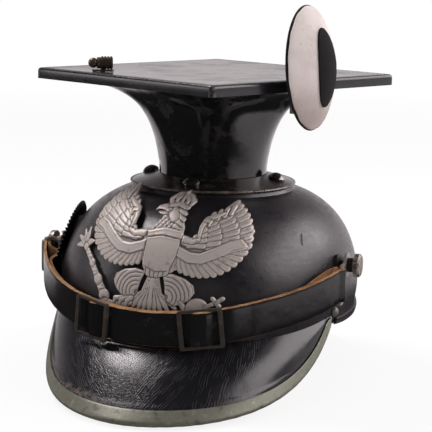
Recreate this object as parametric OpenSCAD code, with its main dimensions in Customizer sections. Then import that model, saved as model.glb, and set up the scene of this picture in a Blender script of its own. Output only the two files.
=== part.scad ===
// Lancer's cap: a leather skull with peak and neck guard, and a square top that turns and lifts off.
// +Z is up, -Y is the wearer's front, +X the wearer's left. The origin is the centre of the head
// opening, in the plane of the skull's rim.

/* [Skull] */
// Half of the skull's outside width at the rim
skull_half_w = 102.3; // [98:0.1:104]
// From the centre of the head opening to the forehead, outside
skull_front = 115.5; // [112:0.5:118]
// From the centre of the head opening to the back, outside
skull_back = 114; // [110:0.5:116]
// Height above the rim at which the dome meets the crown's ring
skull_h = 84; // [82:0.1:86]
// Radius of the crown's ring
ring_r = 57.5; // [57:0.1:58]
// Thickness of the skull's leather
skull_t = 2.6; // [2:0.1:3]
// How far the skull's sides draw in at the rim
rim_tuck = 3.8; // [2:0.1:4]
// Radius of the hole in the crown
crown_hole_r = 30; // [27:0.5:31]

/* [Peak and neck guard] */
// Reach of the peak's edge beyond the forehead
peak_reach = 51.5; // [48:0.5:54]
// How far the peak's edge lies inside the skull's side where it is widest
peak_in = 3.7; // [3:0.1:5]
// Height of the peak's edge at the front, below the rim
peak_drop = 40.4; // [38:0.1:43]
// Thickness of the peak's leather
peak_t = 2.4; // [2:0.1:2.8]
// Rise of the peak's skin above a straight slope
peak_crown = 2; // [0:0.1:3]
// Width of the peak's trim on its upper face
trim_w = 10; // [7:0.5:12]
// Thickness of the trim's sheet
trim_t = 0.7; // [0.5:0.1:1]
// Reach of the neck guard's edge beyond the skull's back
guard_reach = 18; // [15:0.5:22]
// Fall of the neck guard from its sides to its back
guard_drop = 40.2; // [38:0.1:42]

/* [Collar] */
// Outside radius of the collar plate
collar_r = 57.9; // [57:0.1:58.4]
// Height of the collar plate's rim above the top of the dome
collar_up = 4; // [3:0.1:6]
// Rise of the collar plate from its rim to its flat seat
collar_rise = 5.7; // [5:0.1:7]
// Radius of the collar plate's flat seat
seat_r = 38; // [37.5:0.1:40]
// Thickness of the collar plate's sheet
collar_t = 1; // [0.8:0.1:1.2]
// How far the studs stand inwards of the middle between the neck's foot and the dome's ring
stud_in = 1.35; // [0.5:0.05:2]
// Radius of a stud's head
stud_head_r = 5.8; // [5:0.1:6.5]
// Radius of a stud's shank
stud_shank_r = 2; // [1.5:0.1:2.5]

/* [Turning joint] */
// Outside radius of the spigot on the collar plate
spigot_r = 33; // [32.5:0.1:33.2]
// Thickness of the turn ring's wall round the spigot
turn_wall = 2.25; // [2:0.05:3]
// Thickness of the spigot's wall
spigot_t = 1.2; // [1:0.1:1.5]
// Height of the spigot above the collar plate's seat
spigot_h = 12; // [11:0.5:14]
// Radius of a bayonet pin
pin_r = 1.5; // [1.2:0.1:1.8]
// Turn of the top from its seated place to where it stands now
top_turn = 17.24; // [12:0.01:22]
// Turn of the top from its seated place to its entry slots
entry_turn = 45; // [40:1:50]

/* [Square top] */
// Side of the square board
board_side = 175.4; // [170:0.2:178]
// Height of the board's upper face above the collar plate's rim
top_h = 76.4; // [74:0.1:80]
// Thickness of the board at its edge
board_t = 7.4; // [7:0.1:8]
// Thickness of the board's leather
board_leather = 1.4; // [1:0.1:1.6]
// How far the neck's ridges flare between its foot and the board
neck_flare = 23.4; // [18:0.1:26]
// How far the ridges sweep out further just under the board
neck_sweep = 30.9; // [24:0.1:34]
// Thickness of the neck's leather
neck_t = 1.8; // [1.5:0.1:2]

/* [Field badge] */
// Half of the badge's width
badge_half_w = 26.5; // [24:0.5:28]
// Half of the badge's height
badge_half_h = 40.5; // [38:0.5:43]
// Depth of the badge's dome
badge_dome = 14; // [10:0.5:16]
// Height of the badge's centre above the board's upper face
badge_up = 8.3; // [6:0.1:10]
// Radius of the badge's prong
prong_r = 1.25; // [1:0.05:1.5]
// Depth that the prong stands in its socket
prong_in = 22; // [18:0.5:24]

/* [Side posts and cockade] */
// Height of the side posts above the rim
post_z = 40; // [38:0.1:42]
// How far the side posts stand forward of the centre
post_fwd = 23.3; // [20:0.1:26]
// Distance of a post's outer face from the skull's side
post_out = 15.69; // [15:0.01:17]
// Radius of a post's head
post_head_r = 7.9; // [7:0.1:8.5]
// Radius of the stem that the strap's lug turns on
post_stem_r = 4; // [3.5:0.1:4.5]
// Radius of the cockade to the tips of its teeth
cockade_r = 31; // [27:0.5:32]
// Number of teeth round the cockade
cockade_teeth = 60; // [48:1:64]

/* [Chinstrap] */
// Distance from the skull's side at the rim to the middle of the strap
strap_side = 6.2; // [5.5:0.1:8]
// Distance from the forehead to the middle of the strap's lower layer
strap_front = 5.5; // [5:0.1:8]
// Width of the strap
strap_w = 21.5; // [19:0.5:22]
// Thickness of the strap
strap_t = 2.2; // [2:0.1:2.4]
// Outside width of a buckle's frame
buckle_w = 29; // [28:0.5:31]
// Width of a buckle's wire
buckle_wire = 3; // [2.5:0.1:3.2]

/* [Front plate] */
// Span of the eagle's wings
plate_span = 112; // [104:0.5:116]
// Thickness of each layer of the eagle plate
plate_t = 1.3; // [1:0.1:1.5]
// Lean of the eagle plate, clockwise as seen from the front
plate_lean = 4; // [0:0.5:6]
// Height of the eagle's breast above the rim
plate_z = 54; // [52:0.5:56]

/* [Lining] */
// Height of the sweatband
band_h = 30; // [26:0.5:31]
// Thickness of the sweatband's leather
band_t = 1.2; // [1:0.1:1.5]
// Distance from the top of the dome to the height at which the tongues would meet
crown_room = 10; // [6:0.5:14]
// Number of lining tongues
tongues = 8; // [6:1:10]

/* [Hidden] */

seam_gap = 0.15;   // between pieces of one body that lie on each other
body_gap = 0.3;    // between pieces that move past each other
run_gap = 0.05;    // radial clearance of a running fit
ring_n = 48;       // points round the skull
side_p = 2.9;      // fullness of the skull's profile at the sides
front_p = 3;       // and at the front
back_p = 3;        // and at the back
rim_m = 2.2;       // squareness of the skull's outline at the rim
tuck_h = 26;       // height over which the sides draw in

peak_front = skull_front + peak_reach;
peak_half_w = skull_half_w - peak_in;
guard_back = skull_back + guard_reach;
collar_z = skull_h + collar_up;
board_top = collar_z + top_h;
badge_z = board_top + badge_up;
neck_gap = 0.35;   // radial gap between the turn ring and the neck's leather
turn_ring_r = spigot_r + turn_wall;
neck_foot_r = turn_ring_r + neck_gap + neck_t;
stud_pcr = (neck_foot_r + ring_r) / 2 - stud_in;

leather_black = [0.09, 0.09, 0.10];
leather_gloss = [0.05, 0.05, 0.06];
leather_tan = [0.62, 0.44, 0.27];
metal_grey = [0.62, 0.60, 0.57];
metal_olive = [0.45, 0.46, 0.40];
metal_dark = [0.16, 0.15, 0.14];
felt_white = [0.86, 0.83, 0.80];

// The skull's outside is drawn from three quarter profiles that meet in the round ring of the crown.
function full_h(reach, p) = skull_h / pow(1 - pow(ring_r / reach, p), 1 / p);
function half_at(reach, p, z, off) =
    (reach + off) * pow(1 - pow(min(max(z, 0), skull_h + off) / (full_h(reach, p) + off), p), 1 / p);
function plan_r(a, b, m, phi) =
    1 / pow(pow(abs(sin(phi)) / a, m) + pow(abs(cos(phi)) / b, m), 1 / m);
// The skull's sides draw in a little towards the rim.
function tuck(z) = rim_tuck * pow(max(1 - max(z, 0) / tuck_h, 0), 2);
// Radius of the skull at a height and a direction; phi runs from the front towards the wearer's left.
function skull_r(phi, z, off) =
    let (m = 2 + (rim_m - 2) * (1 - min(max(z, 0), skull_h) / skull_h),
         a = half_at(skull_half_w, side_p, z, off) - tuck(z),
         b = cos(phi) > 0 ? half_at(skull_front, front_p, z, off) : half_at(skull_back, back_p, z, off))
    plan_r(a, b, m, phi);
function at(phi, r, z) = [r * sin(phi), -r * cos(phi), z];
function skull_ring(z, off) = [for (i = [0:ring_n - 1]) let (phi = i * 360 / ring_n)
    at(phi, skull_r(phi, z, off), z)];
function round_ring(r, z, n = ring_n) = [for (i = [0:n - 1]) at(i * 360 / n, r, z)];
// Distance of the skull's side from the middle plane, on the line of the side posts
function side_x(z, off, fwd = post_fwd) =
    let (b = half_at(skull_front, front_p, z, off), m = 2 + (rim_m - 2) * (1 - z / skull_h))
    half_at(skull_half_w, side_p, z, off) * pow(1 - pow(fwd / b, m), 1 / m);
// Distance of the skull's front from the centre, at a distance from the middle plane
function front_y(x, z, off) =
    let (a = half_at(skull_half_w, side_p, z, off), m = 2 + (rim_m - 2) * (1 - z / skull_h))
    half_at(skull_front, front_p, z, off) * pow(1 - pow(x / a, m), 1 / m);
// Height of the collar plate's upper face
function collar_top(r) = collar_z + collar_rise * (collar_r - max(r, seat_r)) / (collar_r - seat_r);
cone_angle = atan(collar_rise / (collar_r - seat_r));
cone_t = collar_t / cos(cone_angle);
function crown_z(r) = collar_top(r) - cone_t - seam_gap;

// A closed skin over rings of equally many points, the last joined to the first.
module ring_skin(rings) {
    n = len(rings[0]);
    m = len(rings);
    polyhedron(
        points = [for (ring = rings) each ring],
        faces = [for (i = [0:m - 1], j = [0:n - 1])
            let (a = i * n + j, b = i * n + (j + 1) % n,
                 c = ((i + 1) % m) * n + (j + 1) % n, d = ((i + 1) % m) * n + j)
            each [[a, c, b], [a, d, c]]]);
}

// A solid swept through sections of equally many points, with both ends closed.
module swept(sections) {
    n = len(sections[0]);
    m = len(sections);
    polyhedron(
        points = [for (section = sections) each section],
        faces = concat(
            [for (i = [0:m - 2], j = [0:n - 1])
                let (a = i * n + j, b = i * n + (j + 1) % n, c = (i + 1) * n + (j + 1) % n,
                     d = (i + 1) * n + j)
                each [[a, c, b], [a, d, c]]],
            [[for (j = [0:n - 1]) j]],
            [[for (j = [n - 1:-1:0]) (m - 1) * n + j]]));
}

crown_rings = 10;
crown_step = 2;     // the crown's edge lies this far inside the dome's

post_side = side_x(post_z, 0);
post_face = post_side + post_out;

// Places on the skull
module on_posts() {
    for (side = [-1, 1]) translate([0, -post_fwd, post_z]) rotate([0, side * 90, 0]) children();
}
module on_studs() {
    for (i = [0:3]) rotate([0, 0, i * 90]) translate([0, -stud_pcr, collar_top(stud_pcr)])
        rotate([cone_angle, 0, 0]) children();
}
drawn_span = 112;    // span of the eagle as its outlines are drawn
plate_scale = plate_span / drawn_span;
eagle_post_x = 26 * plate_scale;
eagle_post_up = 8 * plate_scale;
eagle_post_r = 1.5;
module on_eagle_posts() {
    for (side = [-1, 1]) translate([side * eagle_post_x, 0, plate_z + eagle_post_up])
        rotate([90, 0, 0]) children();
}

module skull() color(leather_black) difference() {
    outer = [for (i = [0:crown_rings - 1]) skull_ring(skull_h * sin(i * 90 / crown_rings), 0)];
    inner = [for (i = [crown_rings - 1:-1:0])
        let (z = (skull_h - skull_t) * sin(i * 90 / crown_rings)) [for (p = skull_ring(z, -skull_t)) p]];
    ring_skin(concat(outer,
        [skull_ring(skull_h, 0), round_ring(ring_r - crown_step, crown_z(ring_r - crown_step)),
         round_ring(seat_r, crown_z(seat_r)), round_ring(crown_hole_r, crown_z(seat_r)),
         round_ring(crown_hole_r, crown_z(seat_r) - skull_t),
         round_ring(seat_r, crown_z(seat_r) - skull_t),
         round_ring(ring_r - 2 * crown_step - skull_t,
             crown_z(ring_r - 2 * crown_step - skull_t) - skull_t),
         round_ring(ring_r - skull_t, skull_h - skull_t)],
        inner));
    on_posts() cylinder(r = post_screw_r + seam_gap, h = post_face, $fn = 32);
    on_studs() translate([0, 0, -15]) cylinder(r = stud_shank_r + seam_gap, h = 20, $fn = 32);
    on_eagle_posts() cylinder(r = eagle_post_r + seam_gap, h = skull_front, $fn = 24);
}

// Peak and guard: each is a skin between a root on the skull and a free edge.
peak_end = 69;      // direction in which the peak ends, from the front
peak_root_up = 8;   // rise of the peak's root from the front to its ends
peak_end_up = 4.8;  // height of the peak's edge at its ends
peak_back = 25.5;   // the edge's curve is centred this far forward
peak_tm = 84.2;     // half of the edge's own arc
peak_n = 28;
trim_end = 0.985;   // share of the peak's edge that the trim covers
guard_end = 107;    // direction in which the guard ends, from the back
guard_n = 36;
guard_side = 3.2;   // depth of the guard's band below the rim at the sides
guard_root_z = 1.5; // height of the guard's seam above the rim at the back
guard_t = 1.6;      // thickness of the guard's leather
guard_lip = guard_t + 0.2;  // how far the guard stands out at the sides
guard_swell = 0.5;  // rise of the guard's skin above a straight slope
guard_p = 2.4;      // how late the guard falls away from the sides
unit_p = 1.05;

function unit(v) = v / norm(v);
function signed_pow(v, p) = sign(v) * pow(abs(v), p);
function peak_edge(s) = let (t = s * peak_tm)
    [peak_half_w * signed_pow(sin(t), unit_p),
     -peak_back - (peak_front - peak_back) * pow(cos(t), unit_p),
     -peak_drop + (peak_drop + peak_end_up) * pow(abs(s), 4.5)];
function peak_root(s) = let (phi = s * peak_end, z = peak_root_up * pow(abs(s), 3))
    at(phi, skull_r(phi, z, seam_gap), z);
function guard_edge(s) =
    let (phi = s * guard_end, fall = pow(max(cos(phi * 1.2), 0), guard_p) * (abs(phi) < 75 ? 1 : 0),
         out = guard_lip + (guard_back - skull_back - guard_lip) * fall,
         r = skull_r(180 - phi, 0, out), side_z = guard_side * (1 - pow(abs(s), 6)))
    [r * sin(phi), r * cos(phi), -guard_drop * fall - side_z];
function guard_root(s) = let (phi = s * guard_end, z = guard_root_z + 3 * s * s,
        r = skull_r(180 - phi, z, seam_gap))
    [r * sin(phi), r * cos(phi), z];
// Keeps a point of the underside outside the skull's leather.
function outside(p) = let (phi = atan2(p[0], -p[1]), r = norm([p[0], p[1]]))
    at(phi, max(r, skull_r(phi, p[2], seam_gap)), p[2]);

function peak_normal(s) =
    let (along = peak_edge(s + 0.01) - peak_edge(s - 0.01), out = peak_edge(s) - peak_root(s))
    unit(cross(out, along));
function guard_normal(s) =
    let (along = guard_edge(s + 0.01) - guard_edge(s - 0.01), out = guard_edge(s) - guard_root(s))
    unit(cross(along, out));
function trim_reach(a, b) = min(trim_w, 0.75 * norm(b - a));
// The peak's skin swells between its root and the trim, and lies flat under the trim.
skin_steps = [0, 0.3, 0.6, 0.85, 1];
function skin_line(a, b, n, deep) =
    let (flat = 1 - 1.1 * trim_reach(a, b) / norm(b - a))
    [for (k = [0:len(skin_steps)]) let (u = k < len(skin_steps) ? skin_steps[k] * flat : 1,
            swell = k < len(skin_steps) ? peak_crown * flat * sin(180 * skin_steps[k]) : 0)
        a + (b - a) * u + n * (swell - deep)];
function reversed(v) = [for (i = [len(v) - 1:-1:0]) v[i]];

module front_peak() color(leather_black) swept([for (i = [0:peak_n]) let (
        s = -1 + 2 * i / peak_n, a = peak_root(s), b = peak_edge(s), n = peak_normal(s),
        over = skin_line(a, b, n, 0), under = skin_line(a, b, n, peak_t))
    concat([for (p = over) p[2] > 0 ? outside(p) : p],
        reversed([for (p = under) p[2] > -peak_t ? outside(p) : p]))]);

module peak_trim() color(metal_olive) swept([for (i = [0:peak_n]) let (
        s = max(min(-1 + 2 * i / peak_n, trim_end), -trim_end), a = peak_root(s), b = peak_edge(s),
        n = peak_normal(s), d = unit(b - a), w = trim_reach(a, b), w2 = 0.6 * w, g = seam_gap,
        deep = -peak_t - g)
    [b - d * w + n * g, b - d * w + n * (g + trim_t), b + d * (g + trim_t) + n * (g + trim_t),
     b + d * (g + trim_t) + n * (deep - trim_t), b - d * w2 + n * (deep - trim_t),
     b - d * w2 + n * deep, b + d * g + n * deep, b + d * g + n * g]]);

module trim_end_studs() color(metal_olive) for (side = [-1, 1]) let (
        phi = side * (peak_end + 2), z = peak_root_up + 1.5)
    translate(at(phi, skull_r(phi, z, 2.5 * seam_gap), z)) rotate([0, 0, phi]) rotate([90, 0, 0]) {
        cylinder(r = 3.2, h = 1, $fn = 32);
        translate([0, 0, 1]) intersection() {
            translate([0, 0, -1.6]) sphere(r = 3.6, $fn = 32);
            cylinder(r = 3.2, h = 3, $fn = 32);
        }
    }

module neck_guard() color(leather_black) swept([for (i = [0:guard_n]) let (
        s = -1 + 2 * i / guard_n, a = guard_root(s), b = guard_edge(s), n = guard_normal(s))
    concat(
        [for (u = [0, 0.33, 0.66, 1])
            let (p = a + (b - a) * u + n * (guard_swell * sin(180 * u) - guard_t * u))
            p[2] > 0 ? outside(p) : p],
        [for (u = [1, 0.66, 0.33, 0])
            a + (b - a) * u + n * (guard_t * (1 - u) + guard_swell * sin(180 * u))])]);

// Collar plate: a cone with a beaded rim, a flat seat and the spigot that the top turns on.
spigot_top = collar_top(seat_r) + spigot_h;
slot_z = collar_top(seat_r) + 6;
slot_half = pin_r + 0.15;
pin_half_angle = asin((pin_r + 0.5) / spigot_r);
bead_r = 0.9;
pin_at = [30, 150, 270];
module collar_plate() color(leather_gloss) difference() {
    union() {
        rotate_extrude($fn = 120) polygon([
            [spigot_r - spigot_t, collar_top(seat_r) - collar_t], [seat_r, collar_top(seat_r) - cone_t],
            [collar_r - bead_r, collar_top(collar_r - bead_r) - cone_t],
            [collar_r - bead_r, collar_top(collar_r - bead_r)],
            [seat_r, collar_top(seat_r)], [spigot_r, collar_top(seat_r)],
            [spigot_r, spigot_top], [spigot_r - spigot_t, spigot_top]]);
        rotate_extrude($fn = 120) translate([collar_r - bead_r, collar_top(collar_r - bead_r) - cone_t / 2])
            circle(r = bead_r, $fn = 24);
    }
    on_studs() translate([0, 0, -4]) cylinder(r = stud_shank_r + seam_gap, h = 8, $fn = 32);
    for (a = pin_at) rotate([0, 0, a]) {
        rotate([0, 0, -top_turn - pin_half_angle]) translate([0, 0, slot_z - slot_half])
            rotate_extrude(angle = entry_turn + pin_half_angle, $fn = 120)
            translate([spigot_r - spigot_t - 1, 0]) square([spigot_t + 2, 2 * slot_half]);
        rotate([0, 0, entry_turn - top_turn])
            translate([spigot_r - spigot_t - 2, -pin_r - 0.3, slot_z - slot_half])
            cube([spigot_t + 4, 2 * pin_r + 0.6, spigot_h]);
    }
}

stud_grip = cone_t + seam_gap + skull_t / cos(cone_angle) + 1.2 + 2 * seam_gap;
module collar_studs() color(leather_gloss) on_studs() {
    translate([0, 0, seam_gap]) intersection() {
        translate([0, 0, -2.6]) sphere(r = 7, $fn = 48);
        cylinder(r = stud_head_r, h = 8, $fn = 48);
    }
    translate([0, 0, -stud_grip - 2.5])
        cylinder(r = stud_shank_r, h = stud_grip + 2.5 + seam_gap + 0.5, $fn = 32);
}
module stud_nuts() color(metal_dark) on_studs() translate([0, 0, -stud_grip - 2]) difference() {
    cylinder(r = 4.2, h = 1.9, $fn = 6);
    translate([0, 0, -1]) cylinder(r = stud_shank_r + run_gap, h = 4, $fn = 32);
}

// A thin ring inside the crown that spreads the studs' pull.
crown_ring_w = 8.4;
crown_ring_out = ring_r - skull_t - 4.6;   // the ring's edge stays clear of the dome's leather
crown_ring_in = crown_ring_out - crown_ring_w;
crown_ring_down = cone_t + skull_t / cos(cone_angle) + 2 * seam_gap;
module crown_ring() color(metal_grey) difference() {
    rotate_extrude($fn = 120) polygon([
        [crown_ring_in, collar_top(crown_ring_in) - crown_ring_down],
        [crown_ring_out, collar_top(crown_ring_out) - crown_ring_down],
        [crown_ring_out, collar_top(crown_ring_out) - crown_ring_down - 1],
        [crown_ring_in, collar_top(crown_ring_in) - crown_ring_down - 1]]);
    on_studs() translate([0, 0, -15]) cylinder(r = stud_shank_r + seam_gap, h = 20, $fn = 32);
}

// Eagle plate: flat outlines laid round the skull's front, in two layers.
// u runs to the viewer's right and v up, from the middle of the breast.
plate_u = -0.9;      // the figure stands this far to the viewer's left
plate_foot = 46;     // above this height the plate stands off the dome
plate_stand = 0.9;
plate_gap = 0.7;
plate_reach = 76;    // direction in which the plate's sheet ends, from the front
plate_cols = 20;
plate_rows = [for (v = [-40, -32, -22, -12, -2, 7, 15, 22, 28]) plate_z + v * plate_scale];
wing_top = [[9, 14], [16, 13.2], [20, 12], [22.3, 13], [21.5, 20], [22.5, 24], [27, 26.4], [34, 29],
    [35, 32.5], [37.5, 34], [41, 32.3], [44.5, 29.5], [49, 27], [51.5, 23]];
feather_tips = [[54.5, 18.3], [56, 10.5], [54, 4], [50.3, -1.5], [45.3, -6], [39.5, -9], [33, -10.5],
    [26, -10.7], [19.5, -9.8], [13.5, -8]];
wing_heart = [32, 12];
feather_w = 1.4;
feather_cut = 2.2;
function wing_bottom() = [for (i = [0:len(feather_tips) - 2])
    let (a = feather_tips[i], b = feather_tips[i + 1], d = unit(b - a), mid = (a + b) / 2)
    each [a - d * feather_w, a + d * feather_w, mid + unit(wing_heart - mid) * feather_cut]];
module wing_shape() polygon(concat(wing_top, wing_bottom(), [feather_tips[len(feather_tips) - 1], [8, -5]]));
module body_shape() polygon([[-11.2, 13], [-7, 17.5], [-5, 20.5], [-4.7, 22.5], [-8, 23.2], [-10.3, 24.9],
    [-13.2, 25.6], [-12.5, 27.4], [-10, 28.6], [-6, 29.3], [8.5, 28], [8.8, 24.5], [10.1, 21.5],
    [12.5, 17.5], [13.3, 12], [13, 1.5], [12.4, -8.6], [7, -12], [1, -14], [-5.5, -13.3],
    [-9.5, -6.4], [-12.5, 8.4]]);
module crown_shape() polygon([[-4, 28], [-7.5, 30.8], [-6.4, 33], [-2.6, 34.6], [1.8, 36], [6.2, 34.4],
    [11, 32.5], [9.8, 30], [9.5, 27], [2, 27.5]]);
module leg_shape() polygon([[6, -11], [13, -10], [21, -12], [26.5, -15.5], [28, -20], [25.5, -24.5],
    [21, -28], [14, -30.3], [9.8, -26], [8.5, -18]]);
module tail_shape() polygon([[-6, -12], [6, -12], [6, -22], [10, -28], [17.5, -31.6], [15, -34.5],
    [9.5, -33], [7, -36], [3, -34.5], [0, -36.6], [-4, -35], [-8, -36.6], [-10.5, -33.5],
    [-15, -35.5], [-16.5, -33.5], [-9.5, -28.5], [-6, -22]]);
module sceptre_shape() polygon([[-67, -9], [-66, -3], [-62, 2.5], [-57.5, 5.8], [-55.5, 3], [-52, 1],
    [-49.7, -1.5], [-53.5, -3.5], [-51.5, -7], [-47, -10.5], [-43.6, -15], [-39.5, -17.8],
    [-36, -22], [-31.5, -26.5], [-30.5, -31], [-26, -33], [-21, -32.2], [-13.5, -30.3],
    [-13.5, -33.5], [-21, -36], [-26, -38], [-31, -38.5], [-36, -36], [-37.5, -31.5], [-42, -27],
    [-45.5, -21], [-52.5, -11.5], [-57.5, -7.7], [-62, -8]]);
module orb_shape() {
    translate([30.6, -30.6]) circle(r = 7.5, $fn = 24);
    polygon([[20, -27], [22, -32], [28, -34], [28, -28]]);
    polygon([[35, -29], [40.2, -25], [38, -22.8], [39.5, -21], [42.5, -23], [44.6, -20.7], [46.6, -22.6],
        [44.3, -24.8], [46, -26.8], [44, -28.2], [42, -26.5], [37.5, -31]]);
}
module banner_shape() polygon([[10, 8.5], [15, 6], [21, 4], [27, 4], [34.5, 8], [43, 13], [49, 14],
    [54, 9.5], [46, 7.5], [37.5, 2], [29, -2], [20, -2.2], [10, 2]]);
module arch_shape() polygon([[-11, 13], [0, 16.5], [12.5, 15.8], [13, 11], [0, 12], [-10, 9.5]]);
module shield_shape() polygon([[-10, 9.5], [0, 12], [12.6, 11], [12.4, 2], [9, -8.5], [0, -10], [-9, -7]]);
module head_shape() polygon([[-5, 23], [-3.5, 28.5], [1, 29.5], [6, 28.5], [8, 25], [7, 20], [0, 19]]);
module plate_outline() {
    for (side = [0, 1]) mirror([side, 0]) {
        wing_shape();
        leg_shape();
    }
    body_shape();
    crown_shape();
    tail_shape();
    sceptre_shape();
    orb_shape();
}
module plate_relief() {
    for (side = [0, 1]) mirror([side, 0]) {
        banner_shape();
        translate([17, -19]) circle(r = 6.5, $fn = 16);
    }
    arch_shape();
    shield_shape();
    crown_shape();
    head_shape();
}
module seen_from_front() translate([plate_u, -40, plate_z]) rotate([90, 0, 0]) linear_extrude(90)
    rotate(-plate_lean) scale(plate_scale) children();
// The sheet's outer surface follows the skull at the front and stands off it towards the crown.
function stand_z(z) = z < plate_foot ? z : plate_foot + (z - plate_foot) / plate_stand;
module plate_block(off) {
    rows = [for (z = plate_rows) concat(
        [for (j = [0:plate_cols]) let (phi = plate_reach * (2 * j / plate_cols - 1), r = skull_r(phi, z, off))
            [r * sin(phi), -r * cos(phi), stand_z(z)]],
        [[0, 0, stand_z(z)]])];
    n = len(rows[0]);
    m = len(rows);
    polyhedron(
        points = [for (row = rows) each row],
        faces = concat(
            [for (i = [0:m - 2], j = [0:n - 1])
                let (a = i * n + j, b = i * n + (j + 1) % n, c = (i + 1) * n + (j + 1) % n,
                     d = (i + 1) * n + j)
                each [[a, c, b], [a, d, c]]],
            [[for (j = [0:n - 1]) j]],
            [[for (j = [n - 1:-1:0]) (m - 1) * n + j]]));
}
eagle_post_z = plate_z + eagle_post_up;
eagle_nut_r = 3.6;
eagle_nut_h = 2;
eagle_nut_at = front_y(eagle_post_x + eagle_nut_r, eagle_post_z + eagle_nut_r, -skull_t)
    - eagle_nut_h - seam_gap;
eagle_post_end = front_y(eagle_post_x, plate_foot + (eagle_post_z - plate_foot) * plate_stand, plate_gap)
    + plate_t / 2;
module eagle_plate() color(metal_grey) union() {
    intersection() {
        difference() {
            plate_block(plate_gap + plate_t);
            plate_block(plate_gap);
        }
        seen_from_front() plate_outline();
    }
    intersection() {
        difference() {
            plate_block(plate_gap + 2 * plate_t);
            plate_block(plate_gap + plate_t / 2);
        }
        seen_from_front() plate_relief();
    }
    on_eagle_posts() translate([0, 0, eagle_nut_at - 1.5])
        cylinder(r = eagle_post_r, h = eagle_post_end - eagle_nut_at + 1.5, $fn = 20);
}
module eagle_nuts() color(metal_dark) on_eagle_posts() translate([0, 0, eagle_nut_at]) difference() {
    cylinder(r = eagle_nut_r, h = eagle_nut_h, $fn = 6);
    translate([0, 0, -1]) cylinder(r = eagle_post_r + run_gap, h = eagle_nut_h + 2, $fn = 20);
}

// Side posts: a screw through the skull, a shoulder, the stem for the strap's lug, and a slotted head.
post_screw_r = 2.5;
stem_start = post_side + 4.59;
eye_x = post_side + 5.29;
eye_t = 1.5;
post_head_t = 4;
shoulder_r = 4.8;
module side_post() {
    difference() {
        union() {
            translate([0, 0, side_x(post_z, -skull_t) - 5]) cylinder(r = post_screw_r, h = 20, $fn = 32);
            translate([0, 0, stem_start]) cylinder(r = post_stem_r, h = post_face - stem_start - 1, $fn = 48);
            translate([0, 0, eye_x + eye_t + body_gap]) cylinder(r = shoulder_r,
                h = post_face - post_head_t - eye_x - eye_t - body_gap + 0.5, $fn = 48);
            translate([0, 0, post_face - post_head_t]) cylinder(r = post_head_r, h = post_head_t - 1, $fn = 64);
            translate([0, 0, post_face - 1]) cylinder(r1 = post_head_r, r2 = post_head_r - 1, h = 1, $fn = 64);
        }
        translate([-post_head_r - 1, -0.6, post_face - 1.2]) cube([2 * post_head_r + 2, 1.2, 3]);
    }
}
module side_post_left() color(metal_grey) translate([0, -post_fwd, post_z]) rotate([0, 90, 0]) side_post();
module side_post_right() color(metal_grey) translate([0, -post_fwd, post_z]) rotate([0, -90, 0]) side_post();

// A washer lies on the skull under each post; on the right the cockade lies between the two.
tilt_step = 6;
post_tilt = atan((side_x(post_z - tilt_step, 0) - side_x(post_z + tilt_step, 0)) / (2 * tilt_step));
post_yaw = atan((side_x(post_z, 0, post_fwd - tilt_step) - side_x(post_z, 0, post_fwd + tilt_step))
    / (2 * tilt_step));
washer_r = 6.5;
cockade_lean = 2.7;   // the cockade leans in over the skull's own slope by this much
washer_t = 1;
cockade_t = 1.2;
module on_side(side, lift) {
    translate([side * (side_x(post_z, 0)), -post_fwd, post_z])
        rotate([0, 0, side * -post_yaw]) rotate([0, side * (90 - post_tilt - cockade_lean), 0])
        translate([0, 0, lift]) children();
}
module post_washer(side, lift, t) difference() {
    on_side(side, lift) cylinder(r = washer_r, h = t, $fn = 64);
    on_posts() cylinder(r = post_screw_r + seam_gap, h = post_face, $fn = 32);
}
module post_washers() color(metal_dark) {
    post_washer(1, body_gap, washer_t + cockade_t + seam_gap);
    post_washer(-1, body_gap + cockade_t + seam_gap, washer_t);
}
module post_nuts() color(metal_dark) on_posts() translate([0, 0, side_x(post_z + 6, -skull_t) - 2.3])
    difference() {
        cylinder(r = 6, h = 2, $fn = 6);
        translate([0, 0, -1]) cylinder(r = post_screw_r + run_gap, h = 4, $fn = 32);
    }
module cockade() color(leather_gloss) difference() {
    on_side(-1, body_gap) difference() {
        linear_extrude(cockade_t) polygon([for (i = [0:2 * cockade_teeth - 1])
            let (a = i * 180 / cockade_teeth, r = cockade_r - (i % 2) * 1.8) [r * cos(a), r * sin(a)]]);
        for (r = [13, 21]) translate([0, 0, cockade_t - 0.4]) difference() {
            cylinder(r = r + 0.6, h = 1, $fn = 64);
            translate([0, 0, -1]) cylinder(r = r - 0.6, h = 3, $fn = 64);
        }
    }
    on_posts() cylinder(r = post_screw_r + seam_gap, h = post_face, $fn = 32);
}

// Lining: a sweatband and tongues that lean in over the head.
band_z = 2;
band_in = skull_t + 0.4;
module sweatband() color(leather_tan) ring_skin([
    skull_ring(band_z, -band_in), skull_ring(band_z + band_h / 2, -band_in),
    skull_ring(band_z + band_h, -band_in), skull_ring(band_z + band_h, -band_in - band_t),
    skull_ring(band_z + band_h / 2, -band_in - band_t), skull_ring(band_z, -band_in - band_t)]);

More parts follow.
